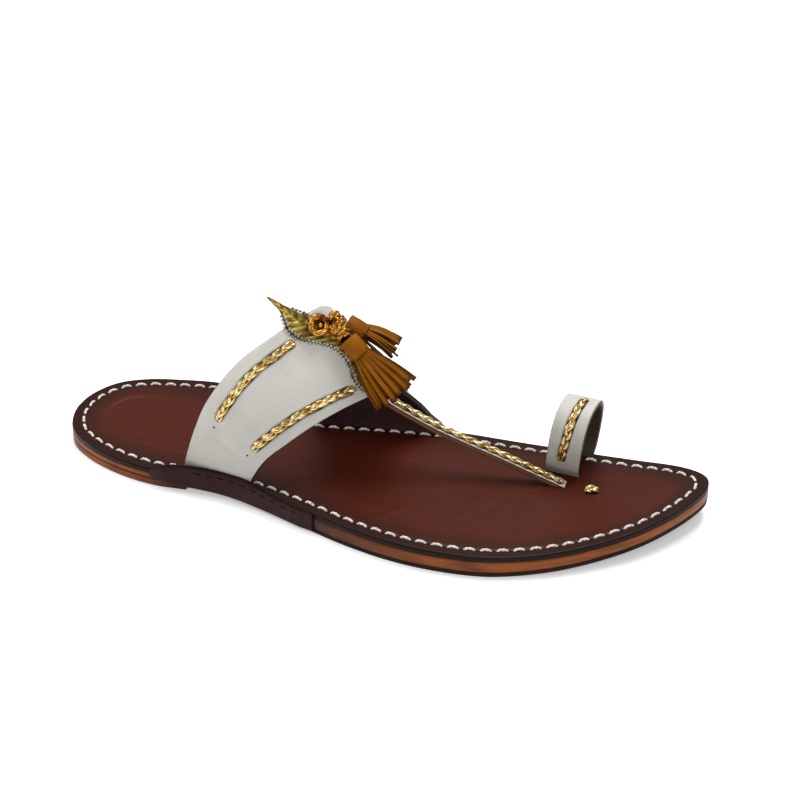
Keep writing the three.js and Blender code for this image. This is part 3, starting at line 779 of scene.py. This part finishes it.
def rib_point(row, share):
    """A point on the band's plain outer face."""
    row = np.clip(np.asarray(row, float), 0, LAST_ROW)
    first = np.minimum(np.floor(row).astype(int), LAST_ROW - 1)
    f = (row - first)[..., None]
    a, b, c, d = (BAND_ROWS[np.clip(first + k, 0, LAST_ROW)] for k in (-1, 0, 1, 2))
    rib = b + 0.5 * f * (c - a + f * (2 * a - 5 * b + 4 * c - d + f * (3 * (b - c) + d - a)))
    share = np.asarray(share, float)[..., None]
    return rib[..., :3] * (1 - share) + rib[..., 3:] * share


def band_normal(row, share):
    step = 0.02
    across = rib_point(np.minimum(row + step, LAST_ROW), share) - rib_point(np.maximum(row - step, 0), share)
    forward = rib_point(row, share + step) - rib_point(row, share - step)
    return normalised(np.cross(forward, across))


def on_band(row, share, lift=0.0):
    """A point at a height over the band's outer face, crowned between its edges."""
    row, share = np.broadcast_arrays(np.asarray(row, float), np.asarray(share, float))
    from_foot = np.minimum(row, LAST_ROW - row)
    crown = BAND_CROWN * np.clip(4 * share * (1 - share), 0, None) * ease(from_foot, 1, 3)
    return rib_point(row, share) + band_normal(row, share) * (crown + lift)[..., None]


def braid_line(name, count):
    (row_a, share_a), (row_b, share_b) = BRAIDS[name]
    return np.linspace(row_a, row_b, count), np.linspace(share_a, share_b, count)


channels = {name: on_band(*braid_line(name, 60))[3:-3] for name in BRAIDS}
BAND_CREASES = [  # row and share of the band, then half length, depth and half width
    (1.9, 0.5, 9, 0.35, 2.2), (3.1, 0.62, 12, 0.22, 2.6), (11.2, 0.5, 8, 0.35, 2.0),
    (4.6, 0.35, 10, 0.18, 2.4)]


def pressed(distance, lip):
    """Depth of the channel that a braid lies in, with a soft lip beside it."""
    return -0.55 * np.exp(-(distance / 1.6) ** 4) + lip * np.exp(-((distance - 2.5) / 0.65) ** 2)


def channel_shade(distance):
    """How dark the channel is: painted shade, a dark line on both sides of the braid."""
    return 1 - ease(distance, 1.7, 2.0)


def channel_distance(points):
    nearest = np.full(points.shape[:-1], 1e3)
    for channel in channels.values():
        nearest = np.minimum(nearest, np.linalg.norm(points[..., None, :] - channel, axis=-1).min(-1))
    return nearest


def band_relief(row, share, points):
    """Pressed channels under the braids, slack creases and a slight wave."""
    nearest = channel_distance(points)
    lift = pressed(nearest, 0.16)
    for at_row, at_share, half_long, depth, half_wide in BAND_CREASES:
        centre = on_band(at_row, at_share)
        reach = normalised(on_band(at_row + 0.3, at_share) - centre)
        off = (points - centre) @ reach
        along = np.sqrt(np.maximum(((points - centre) ** 2).sum(-1) - off ** 2, 0))
        lift -= depth * np.exp(-(off / half_wide) ** 2 - (along / half_long) ** 2)
    return lift + 0.09 * np.sin(row * 2.1 + share * 3) * np.sin(share * 5.3 + row)


def shell(row_count, share_count, outer, inner, relief=None, rim=0.28):
    """A closed sheet of the band between two lifts, with rounded cut edges marked as edge, and with a relief
    also the painted shade of the braid channels.
    """
    rows = np.linspace(0, LAST_ROW, row_count)
    shares = np.linspace(0, 1, share_count)
    grid_rows, grid_shares = np.meshgrid(rows, shares, indexing="ij")
    face = on_band(grid_rows, grid_shares)
    normal = band_normal(grid_rows, grid_shares)
    outer_face, inner_face = face + normal * outer, face + normal * inner
    edge = np.zeros((row_count, 2 * share_count + 6))
    edge[:, share_count:share_count + 3] = edge[:, -3:] = 1
    if relief:
        outer_face = outer_face + normal * relief(grid_rows, grid_shares, face)[..., None]
        # painted shade of the braid channels, carried in the edge value and drawn in the edge paint colour
        edge[:, :share_count] = channel_shade(channel_distance(face))
    forward = normalised(face[:, -1] - face[:, -2]) * rim
    rearward = normalised(face[:, 0] - face[:, 1]) * rim
    front_in, rear_in = normal[:, -1] * rim, normal[:, 0] * rim
    rings = np.concatenate([outer_face, np.stack([
        outer_face[:, -1] - front_in + forward, (outer_face[:, -1] + inner_face[:, -1]) / 2 + forward,
        inner_face[:, -1] + front_in + forward], 1), inner_face[:, ::-1], np.stack([
            inner_face[:, 0] + rear_in + rearward, (outer_face[:, 0] + inner_face[:, 0]) / 2 + rearward,
            outer_face[:, 0] - rear_in + rearward], 1)], 1)
    return rings.reshape(-1, 3), tube_faces(row_count, rings.shape[1]), edge.ravel()


# the band's white leather goes darker towards the floor, by dust and painted shade
white_leather = leather("off_white_grain_leather", "#cdcbc6", "#bfbcb6", edge_paint_and_shade="#2b1c15", grain=0.6,
                        relief=0.12, roughness=0.52, mottle=14, contrast=0.5, crinkle=1.1, dust_and_shade=0.7)
lining_leather = leather("purple_brown_lining_leather", "#3c2323", "#2a1717", edge_paint_and_shade="#120a08", grain=0.7,
                         relief=0.05, roughness=0.55)
ring_lining_leather = leather("brown_ring_lining_leather", "#45382e", "#33271f", edge_paint_and_shade="#17100c",
                              grain=0.6, relief=0.05, roughness=0.6)

ROWS_FINE, SHARES_FINE = 240, 56
LINING_ROWS, LINING_SHARES = 120, 24
band = shell(ROWS_FINE, SHARES_FINE, 0.0, -SKIN_THICK, band_relief)
add_part("instep_band", band, white_leather, "white_leather", "upper")
band_lining = shell(LINING_ROWS, LINING_SHARES, -SKIN_THICK - GLUE_GAP, -BAND_WALL)
add_part("instep_band_lining", band_lining, lining_leather, "dark_leather")

# ------------------------------------------------------------------ T-strap
# A narrow strap from under the band's crest to a slot between the first two toes: white leather on
# a tan strap of the same width, with their cut edges stained dark where they meet.

THONG_PATH = [
    (124.5, 5.6, 49.6), (130.5, 5.9, 42.6), (136.5, 6.4, 37.6), (147, 7.8, 32.2), (157.4, 9.2, 27.6),
    (169.6, 10.9, 23.3), (181.7, 12.5, 19.4), (193.9, 14.2, 15), (203.5, 15.6, 11.6), (208.4, 16.3, 9.8)]
THONG_WIDE, THONG_THICK, THONG_SKIN = 4.5, 2.8, 0.8
thong_line = smooth_curve(THONG_PATH, steps=16)


def carried_frames(line, sideways):
    """Side and up vectors along a line, with up square to the line and to the given side."""
    tangent = normalised(np.gradient(line, axis=0))
    side = normalised(sideways - (sideways * tangent).sum(1, keepdims=True) * tangent)
    return side, np.cross(tangent, side)


def rounded_strip(line, side, up, wide, top, bottom, corner=0.35):
    """A strap of constant section with rounded corners, its top at the line's height plus top."""
    half = wide / 2
    right = [(half - corner, bottom, 0), (half, bottom + corner, 1), (half, (top + bottom) / 2, 1),
             (half, top - corner, 1), (half - corner, top - 0.04, 0.4), (half * 0.5, top, 0)]
    left = [(-out, height, edge) for out, height, edge in right[::-1]]
    out, height, edge = zip(left[-1], (0, bottom, 0), *right, (0, top, 0), *left[:-1])
    rings = [p + np.outer(out, q) + np.outer(height, r) for p, q, r in zip(line, side, up)]
    return np.vstack(rings), tube_faces(len(rings), len(edge)), edge * len(rings)


tan_strap = leather("tan_strap_leather", "#8a5a34", "#5c3820", edge_paint_and_shade="#6a4226", grain=0.5,
                    relief=0.05)
white_strap = leather("off_white_strap_leather", "#d3cfc8", "#c4beb6", edge_paint_and_shade="#c9c2b9", grain=0.42)
thong_side, thong_up = carried_frames(thong_line, np.tile((0.0, 1.0, 0.0), (len(thong_line), 1)))
for name, material, slot, narrower, top, bottom, corner in (
        ("thong_skin", white_strap, "white_leather", 0.0, 0.0, -THONG_SKIN, 0.35),
        ("thong_core", tan_strap, "tan_leather", 0.1, -THONG_SKIN - 0.4, -THONG_THICK, 0.35),
        ("thong_glue_line", lining_leather, "dark_leather", 0.9, 0.05 - THONG_SKIN, -0.45 - THONG_SKIN,
         0.05)):
    layer = rounded_strip(thong_line, thong_side, thong_up, THONG_WIDE - narrower, top, bottom, corner)
    add_part(name, layer, material, slot)

# ------------------------------------------------------------------ toe ring
# A bowed loop for the big toe, of the band's white leather on a dark lining. Both feet pass through
# slots in the foot bed, and a gold braid runs from its outer foot to its top.

RING_PROFILE = [
    (8.4, -1.6), (8.9, 0.2), (11.2, 4.4), (12.1, 10), (12.1, 17.5), (10.6, 23.6), (6.6, 28.2), (0, 29.8)]
RING_CENTRE = (204.4, 32.3)
RING_WIDE, RING_WALL, RING_SKIN, RING_LEAN = 14, 2.3, 1.2, 3.1
RING_TOP = RING_PROFILE[-1][1]
ring_half = [(-out, up) for out, up in RING_PROFILE]
ring_curve = smooth_curve(ring_half + [(out, up) for out, up in RING_PROFILE[-2::-1]], steps=14)
ring_line = np.column_stack([
    RING_CENTRE[0] + RING_LEAN * np.clip(ring_curve[:, 1], 0, None) / RING_TOP,
    RING_CENTRE[1] + ring_curve[:, 0], bed_top(np.array(RING_CENTRE[0])) + ring_curve[:, 1]])
ring_side = np.tile((1.0, 0.0, 0.0), (len(ring_line), 1))
ring_up = normalised(np.cross(ring_side, normalised(np.gradient(ring_line, axis=0))))


def distances(line):
    """How far along a line each of its points is."""
    return np.concatenate([[0], np.cumsum(np.linalg.norm(np.diff(line, axis=0), axis=1))])


def sampled(vectors, run, marks):
    """Vectors given at the distances in run, at other distances."""
    return np.stack([np.interp(marks, run, vectors[:, k]) for k in range(3)], 1)


RING_BRAID_SPAN, RING_BRAID_SHIFT = (0.13, 0.53), (-0.9, 1.3)  # shares of the ring; off its middle line
ring_run = distances(ring_line)
on_ring = np.linspace(*RING_BRAID_SPAN, 60) * ring_run[-1]
ring_braid, ring_braid_side, ring_braid_up = (
    sampled(vectors, ring_run, on_ring) for vectors in (ring_line, ring_side, ring_up))
ring_braid += ring_braid_side * np.linspace(*RING_BRAID_SHIFT, 60)[:, None]


def bowed_strip(line, side, up, wide, top, bottom, channel=None, steps=34, rim=0.3):
    """A strap with rounded edges, and a channel with a raised lip pressed round a line of points."""
    shares = np.linspace(-1, 1, steps)
    rings, edge = [], []
    for p, q, r in zip(line, side, up):
        outer = p + np.outer(shares * (wide / 2 - rim), q) + r * top
        dark = np.zeros(steps)
        if channel is not None:
            nearest = np.linalg.norm(outer[:, None] - channel, axis=-1).min(-1)
            outer = outer + np.outer(pressed(nearest, 0.32), r)
            # painted shade of the braid's channel, carried in the edge value
            dark = channel_shade(nearest)
        inner = [p + q * s * (wide / 2 - rim) + r * bottom for s in shares[::-1]]
        turn_a = [p + q * (wide / 2) + r * (top - rim), p + q * (wide / 2) + r * (bottom + rim)]
        turn_b = [p - q * (wide / 2) + r * (bottom + rim), p - q * (wide / 2) + r * (top - rim)]
        rings.append([*outer, *turn_a, *inner, *turn_b])
        edge.append([*dark, 1.0, 1.0] + [0.0] * steps + [1.0, 1.0])
    return np.vstack(rings), tube_faces(len(rings), len(rings[0])), np.ravel(edge)


ring_skin = bowed_strip(ring_line, ring_side, ring_up, RING_WIDE, 0.0, -RING_SKIN, ring_braid[3:-3])
add_part("toe_ring_skin", ring_skin, white_leather, "white_leather", "toe_ring")
ring_lining = bowed_strip(ring_line, ring_side, ring_up, RING_WIDE - 0.3, -RING_SKIN - GLUE_GAP, -RING_WALL,
                          steps=12)
add_part("toe_ring_lining", ring_lining, ring_lining_leather, "dark_leather")

# ------------------------------------------------------------------ gold braids
# Flat three-strand plaits of gilt leather strip, laid in the channels of the band, the T-strap and
# the ring. Each end is drawn down through a small punched slot.

PLAIT_WAVE = 14.4  # one strand's way from a side of the plait and back
STRAND_HALF, STRAND_THICK, STRAND_STEP = 0.78, 0.6, 0.36


def metal_strip(name, bright, dark, shade_colour, roughness):
    """Metallised leather strip: a foil skin that mirrors softly, rubbed duller in places. The mesh says
    how deep each point lies between the strands, and there the foil is painted dark as shade."""
    material, tree = new_material(name)
    place = object_place(tree)
    foil = mixed(tree, remap(tree, noise(tree, place, 260.0, 3.0), 0.36, 0.54), dark, bright)
    wrinkle = noise(tree, place, 900.0, 2.0)
    surface(tree, Base_Color=mixed(tree, carried(tree, "depth"), foil, shade_colour), Metallic=0.9,
            Roughness=roughness, Normal=bumped(tree, wrinkle, 0.1, 0.0001))
    return material


gilt = metal_strip("gilt_leather_strip", "#e3c88a", "#a17c36", "#1a0f03", 0.25)


def joined(parts):
    """Points, faces and values of several parts as one."""
    starts = np.cumsum([0] + [len(points) for points, _, _ in parts])
    faces = [tuple(start + k for k in f) for start, (_, own, _) in zip(starts, parts) for f in own]
    return np.vstack([part[0] for part in parts]), faces, np.concatenate([part[2] for part in parts])


def plait(line, side, up, half=BRAID_HALF, wave=PLAIT_WAVE, strand=STRAND_HALF, thick=STRAND_THICK,
          lift=0.35, dip=0.9, weave=0.42, section=10):
    """A three-strand plait along a line. Its ends dip under the surface over the given length. Returns
    points, faces and how deep each point lies, which paints shade between the strands and on their sides."""
    run = distances(line)
    marks = np.linspace(0, run[-1], max(8, int(run[-1] / STRAND_STEP)) + 1)
    line, side, up = (sampled(vectors, run, marks) for vectors in (line, side, up))
    end_gap = np.minimum(marks, run[-1] - marks)
    sink = -1.5 * (1 - ease(end_gap, 0, dip)) if dip else np.zeros(len(marks))
    taper = 1 - 0.25 * (1 - ease(end_gap, 0, 2.0)) if dip else np.ones(len(marks))
    turns = np.linspace(0, 2 * math.pi, section, endpoint=False)
    edges = np.abs(np.cos(turns)) ** 4
    strands = []
    for k in range(3):
        phase = 2 * math.pi * (marks / wave + k / 3)
        sway = (half - strand * 0.85) * np.sin(phase) * taper
        rise = lift + weave * np.sin(2 * phase) + sink
        path = line + side * sway[:, None] + up * rise[:, None]
        q, r = carried_frames(path, side)
        rings = [c + np.outer(np.cos(turns), a) * strand * t + np.outer(np.sin(turns), b) * thick
                 for c, a, b, t in zip(path, q, r, taper)]
        over = np.stack([((ring - c) * u).sum(1) for ring, c, u in zip(rings, line, up)])
        depth = 1 - ease(over - lift - sink[:, None], -0.5 * weave - 0.2 * thick, 0.9 * thick)
        # painted shade: points deep between the strands, and the strands' sides, go dark
        strands.append((np.vstack(rings), tube_faces(len(rings), section),
                        np.clip(depth + 0.5 * edges, 0, 1).ravel()))
    return joined(strands)


def add_plait(name, line, side, up, *nodes, **sizes):
    add_part(name, plait(line, side, up, **sizes), gilt, "gold_braid", *nodes, value="depth", merge=1e-7)


for name in BRAIDS:
    rows, shares = braid_line(name, 90)
    line = on_band(rows, shares, -0.35)
    up = band_normal(rows, shares)
    side = normalised(np.cross(up, np.gradient(line, axis=0)))
    add_plait(f"plait_{name}", line, side, up, f"braid_{name}")
THONG_BRAID_SPAN = (0.24, 0.985)  # shares of the T-strap
span = slice(*(int(share * len(thong_line)) for share in THONG_BRAID_SPAN))
add_plait("plait_thong", thong_line[span] - 0.35 * thong_side[span], thong_side[span], thong_up[span],
          "braid_thong", half=1.6, dip=0.6)
add_plait("plait_ring", ring_braid - 0.3 * ring_braid_up, ring_braid_side, ring_braid_up, "braid_ring")

# The small stitch of the same strip in front of the T-strap, which ties the strap's tail below
TIE, TIE_ACROSS = ((216.8, 15.4), (221.6, 16.9)), (-0.29, 0.96, 0.0)
tie_plan = np.linspace(*TIE, 12)
tie_line = np.column_stack([tie_plan, bed_top(tie_plan[:, 0])])
tie_across = np.tile(TIE_ACROSS, (len(tie_line), 1))
tie_up = np.tile((0.0, 0.0, 1.0), (len(tie_line), 1))
add_plait("toe_tie_stitch", tie_line, tie_across, tie_up, wave=11.0, lift=0.75, dip=0.7,
          half=2.5, strand=1.1, thick=0.75)

# Punched slots at the ends of the braids on the band, drawn as dark lenses of painted shade
SLOT_LONG, SLOT_WIDE, PRICK_WIDE = 3.4, 1.5, 0.8


def slot_mouth(centre, along, up, long, wide, steps=20):
    """A dark lens that reads as the mouth of a slot: painted shade where the open slot shows only shade."""
    turns = np.linspace(0, 2 * math.pi, steps, endpoint=False)
    oval = np.outer(np.cos(turns) * long / 2, along) + np.outer(np.sin(turns) * wide / 2, np.cross(up, along))
    rings = [centre + oval * size + up * level for level, size in ((-0.3, 1.0), (0.072, 0.9), (0.12, 0.55))]
    return np.vstack(rings), tube_faces(len(rings), steps), np.zeros(len(rings) * steps)


slots = []
for name in BRAIDS:
    rows, shares = braid_line(name, 30)
    line = on_band(rows, shares)
    low_end = 0 if line[0][2] < line[-1][2] else -1
    for end, before in ((0, 1), (-1, -2)):
        up = band_normal(rows[end], shares[end])
        along = normalised(line[end] - line[before])
        slots.append(slot_mouth(line[end] + along * 0.5 - up * 0.28, along, up, SLOT_WIDE * 1.6, SLOT_LONG))
        if name.startswith("lateral") and end == low_end:  # the awl's first prick, below the slot, as a dot of painted shade
            slots.append(slot_mouth(line[end] + along * 3.2, along, up, PRICK_WIDE, PRICK_WIDE))
points, faces, _ = joined(slots)
punched = add_object("punched_slots", points, faces, lining_leather)
belongs(punched, "dark_leather")

# ------------------------------------------------------------------ leaf tab
# A leaf of gold foil leather laid on the crest, its tip free behind the band. Its border is worked
# with silver-grey beads and ribs are pressed into the foil.

LEAF_ROWS = [  # share from rear to front, near row, far row
    (-0.36, 5.5, 5.53), (-0.28, 5.51, 5.6), (-0.2, 5.52, 5.66), (-0.14, 5.5, 5.73), (-0.08, 5.46, 5.82),
    (-0.02, 5.41, 5.93), (0.04, 5.385, 6.05), (0.1, 5.4, 6.18), (0.17, 5.45, 6.32), (0.225, 5.54, 6.44),
    (0.285, 5.66, 6.56), (0.366, 5.84, 6.7), (0.48, 6, 6.82), (0.6, 6.03, 6.88), (0.72, 5.9, 6.85),
    (0.82, 5.82, 6.72), (0.9, 5.84, 6.58), (0.96, 5.96, 6.4), (0.985, 6.1, 6.25)]
LEAF_THICK = 1.1
leaf_line = smooth_curve(LEAF_ROWS, steps=8)
LEAF_ACROSS = 18
rings, depth = [], []
for share, near, far in leaf_line:
    across = np.linspace(0, 1, LEAF_ACROSS)
    rows = near + (far - near) * across
    dome = 0.75 * (1 - (2 * across - 1) ** 4)
    ribs = 0.13 * np.sin(share * 80 + 6 * np.abs(2 * across - 1))
    ridge = 0.35 * np.exp(-((across - 0.5) / 0.09) ** 2)
    lift = 0.35 + LEAF_THICK * 0.45 + dome + ribs * (dome > 0.2) + ridge
    top = on_band(rows, np.full(LEAF_ACROSS, share), lift)
    low = on_band(rows[::-1], np.full(LEAF_ACROSS, share), 0.12)
    rings.append([*top, *low])
    # painted shade: darker in the rib hollows, towards the leaf's edges and all over its underside
    leaf_shade = 0.3 - 2.4 * ribs + 0.9 * (2 * across - 1) ** 6
    depth.append([*np.clip(leaf_shade, 0, 1), *np.ones(LEAF_ACROSS)])
gold_foil = metal_strip("gold_foil_leather", "#c4a850", "#856c30", "#2c1f0b", 0.3)
leaf = np.vstack(rings), tube_faces(len(rings), 2 * LEAF_ACROSS), np.ravel(depth)
add_part("leaf_tab_foil", leaf, gold_foil, "gold_foil", "leaf_tab", value="depth")


def bead_unit(name, radii, rings=5, around=8):
    """A small flattened bead, in metres."""
    shape = bmesh.new()
    bmesh.ops.create_uvsphere(shape, u_segments=around, v_segments=rings, radius=0.001)
    bmesh.ops.scale(shape, vec=radii, verts=shape.verts)
    mesh = bpy.data.meshes.new(name)
    shape.to_mesh(mesh)
    shape.free()
    mesh.shade_smooth()
    return bpy.data.objects.new(name, mesh)


BEAD_RADII, BEAD_PITCH = (0.74, 0.68, 0.6), 1.5
silver = metal_strip("silver_grey_beads", "#b4b2a6", "#6b685c", "#26241f", 0.4)
runs = []
bordered = leaf_line[leaf_line[:, 0] > -0.13]
for lift, push in ((1.0, -0.05), (0.3, 0.02)):
    near_run = on_band(bordered[:, 1] - push, bordered[:, 0], lift)
    far_run = on_band(bordered[::-1, 2] + push, bordered[::-1, 0], lift)
    border = np.vstack([near_run, far_run])
    border_up = np.vstack([band_normal(bordered[:, 1], bordered[:, 0]),
                           band_normal(bordered[::-1, 2], bordered[::-1, 0])])
    runs.append((border, border_up, False))
beads = repeated("leaf_border_beads", runs, bead_unit("bead_unit", BEAD_RADII), BEAD_PITCH, silver,
                 sway=0.2, seed=11)
belongs(beads, "gold_foil")

# ------------------------------------------------------------------ tassel loop and knot
# Copper-gold strip plaited into a loop that lies on the leaf, and wound into a knot from which the
# two tassels hang.

LOOP_CENTRE, LOOP_RADIUS = np.array([110.6, -2.2, 68.8]), 3.3
KNOT_CENTRE, KNOT_LONG = np.array([117.3, 1.8, 67.6]), 6.0
KNOT_REACH = (3.5, 3.3)  # across the knot, and over the band
KNOT_WAY = np.array([0.61, -0.3, -0.73])
copper_gilt = metal_strip("copper_gold_strip", "#c98a36", "#6a3510", "#140702", 0.24)
crest_up = band_normal(np.array(6.0), np.array(0.2))
crest_forward = normalised(np.array([1.0, 0.0, 0.0]) - crest_up[0] * crest_up)
crest_side = np.cross(crest_up, crest_forward)
turns = np.linspace(0, 2 * math.pi, 64)
loop_out = np.outer(np.cos(turns), crest_forward) + np.outer(np.sin(turns), crest_side)
loop_line = LOOP_CENTRE + LOOP_RADIUS * loop_out
parts = [plait(loop_line, loop_out, np.tile(crest_up, (len(turns), 1)), half=1.35, wave=10.4, strand=0.95,
               thick=0.9, lift=0.0, dip=0, weave=0.3)]


def ball(centre, ways, depth, rings=14, around=24):
    """An ellipsoid with the given half axes, all of it equally deep in shadow."""
    shares = np.cos(np.linspace(0.12, math.pi - 0.12, rings))
    bends = np.linspace(0, 2 * math.pi, around, endpoint=False)
    oval = np.outer(np.cos(bends), ways[1]) + np.outer(np.sin(bends), ways[2])
    points = [centre + ways[0] * s + math.sqrt(1 - s * s) * oval for s in shares]
    return np.vstack(points), tube_faces(rings, around), np.full(rings * around, float(depth))


hole_side, hole_forward = crest_side * 2.3, crest_forward * 2.3
# a dark ball of painted shade in the loop's hole
parts.append(ball(LOOP_CENTRE - crest_up * 0.3, (crest_up * 0.9, hole_side, hole_forward), 0.9))
parts.append(ball(LOOP_CENTRE + crest_up * 0.5 + crest_forward * 0.6,
                  (crest_up, crest_side, crest_forward), 0.0))
way = normalised(KNOT_WAY)
knot_side = normalised(np.cross(crest_up, way))
knot_up = np.cross(way, knot_side)
# the knot's core, painted partly in shade where it shows between the wraps
parts.append(ball(KNOT_CENTRE, (way * 5.6, knot_side * 2.9, knot_up * 2.7), 0.6))
for wrap in np.linspace(-0.78, 0.78, 4):  # plaits wound side by side round the knot's core
    reach = math.sqrt(1 - wrap ** 2)
    out = (np.outer(np.cos(turns), knot_side) * KNOT_REACH[0]
           + np.outer(np.sin(turns), knot_up) * KNOT_REACH[1])
    skew = np.outer(0.7 * np.sin(turns + 4 * wrap), way)
    line = KNOT_CENTRE + way * wrap * KNOT_LONG * 0.9 + skew + out * (reach - 0.12)
    parts.append(plait(line, np.tile(way, (len(turns), 1)), normalised(out), half=1.5, wave=9.6,
                       strand=0.8, thick=0.8, lift=0.0, dip=0, weave=0.45))
add_part("tassel_loop_and_knot", joined(parts), copper_gilt, "copper_braid", "tassel_knot", value="depth",
         merge=1e-7)

# ------------------------------------------------------------------ tassels
# A strip of thin ochre leather cut into a comb and rolled up: the roll is bound by a plain collar,
# and the cut strips fan out below it, stiff and a little twisted.

CAP_LONG, CAP_RADIUS, CAP_THICK = 8.6, 3.9, 2.9
TASSELS = {  # start, end, turn in degrees, half width and half thickness at the tips, strips, seed
    "near": ((121.8, 0.2, 63.8), (143.9, -2.2, 44.9), 46, 9.6, 2.4, 18, 21),
    "far": ((117.7, 8.9, 66.2), (137.2, 12.0, 55.8), 0, 8.2, 2.4, 15, 33)}
CAP_AROUND = 48
CAP_PROFILE = [  # distance from the collar's upper end, share of its radius
    (0.0, 0.3), (0.0, 0.72), (0.15, 0.93), (0.5, 1.0), (CAP_LONG * 0.5, 1.03), (CAP_LONG - 0.4, 1.0),
    (CAP_LONG - 0.1, 0.95), (CAP_LONG, 0.86), (CAP_LONG - 0.5, 0.7)]
STRIP_WIDE, STRIP_THICK, STRIP_STEPS = 2.1, 0.9, 12
ochre = leather("ochre_tassel_leather", "#985a05", "#6c3e02", edge_paint_and_shade="#331a03", grain=0.35, relief=0.05,
                roughness=0.5, shine=0.08, mottle=9, contrast=0.6)
for name, (start, end, turned, tip_wide, tip_thick, count, seed) in TASSELS.items():
    draw = random.Random(seed)
    start, end = np.array(start), np.array(end)
    axis = normalised(end - start)
    length = np.linalg.norm(end - start)
    level = normalised(np.cross((0, 0, 1), axis))
    upward = np.cross(axis, level)
    swing = math.radians(turned)
    side = level * math.cos(swing) + upward * math.sin(swing)
    up = np.cross(axis, side)
    rings, edge = [], []
    for distance, reach in CAP_PROFILE:
        ring = []
        for k in range(CAP_AROUND):
            turn = 2 * math.pi * k / CAP_AROUND
            wrap = 0.32 * (1 - k / CAP_AROUND) if 0.4 < distance < CAP_LONG - 0.3 else 0.0
            ring.append(start + axis * distance + side * math.cos(turn) * (CAP_RADIUS * reach + wrap * 0.6)
                        + up * math.sin(turn) * (CAP_THICK * reach + wrap * 0.6))
        rings.append(ring)
        edge.append([1.0 if distance > CAP_LONG - 0.2 or reach < 0.5 else 0.0] * CAP_AROUND)
    cap = np.vstack(rings), tube_faces(len(rings), CAP_AROUND), np.ravel(edge)
    add_part(f"tassel_collar_{name}", cap, ochre, "ochre_leather", f"tassel_cap_{name}")

    strips = []
    for k in range(count):
        spread = 2 * (k + 0.5) / count - 1
        layer = ((k * 5) % 3 - 1) * 0.8 + draw.uniform(-0.25, 0.25)
        reach = length + draw.uniform(-1.6, 1.8) - 1.5 * spread ** 2
        root = (start + axis * (CAP_LONG - 1.2) + side * spread * CAP_RADIUS * 0.74
                + up * layer * CAP_THICK * 0.5)
        sideways = spread * tip_wide + draw.uniform(-0.7, 0.7)
        lift = layer * tip_thick * 0.7 + draw.uniform(-0.5, 0.5)
        tip = start + axis * reach + side * sideways + up * lift
        bow = up * draw.uniform(0.2, 1.1) + side * spread * draw.uniform(0.3, 1.2)
        twist = draw.uniform(-0.5, 0.5)
        shares = np.linspace(0, 1, STRIP_STEPS)
        line = root + np.outer(shares, tip - root) + np.outer(np.sin(math.pi * shares), bow)
        q, r = carried_frames(line, np.tile(side, (STRIP_STEPS, 1)))
        turn = spread * 0.5 + twist * shares
        flat = q * np.cos(turn)[:, None] + r * np.sin(turn)[:, None]
        rise = r * np.cos(turn)[:, None] - q * np.sin(turn)[:, None]
        points, faces, edge = rounded_strip(line, flat, rise, STRIP_WIDE, STRIP_THICK / 2,
                                            -STRIP_THICK / 2, corner=0.16)
        edge = np.reshape(edge, (STRIP_STEPS, -1))
        edge[-1] = 0.8  # the cut tip
        strips.append((points, faces, edge.ravel()))
    add_part(f"tassel_fringe_{name}", joined(strips), ochre, "ochre_leather", f"fringe_{name}", merge=1e-7)
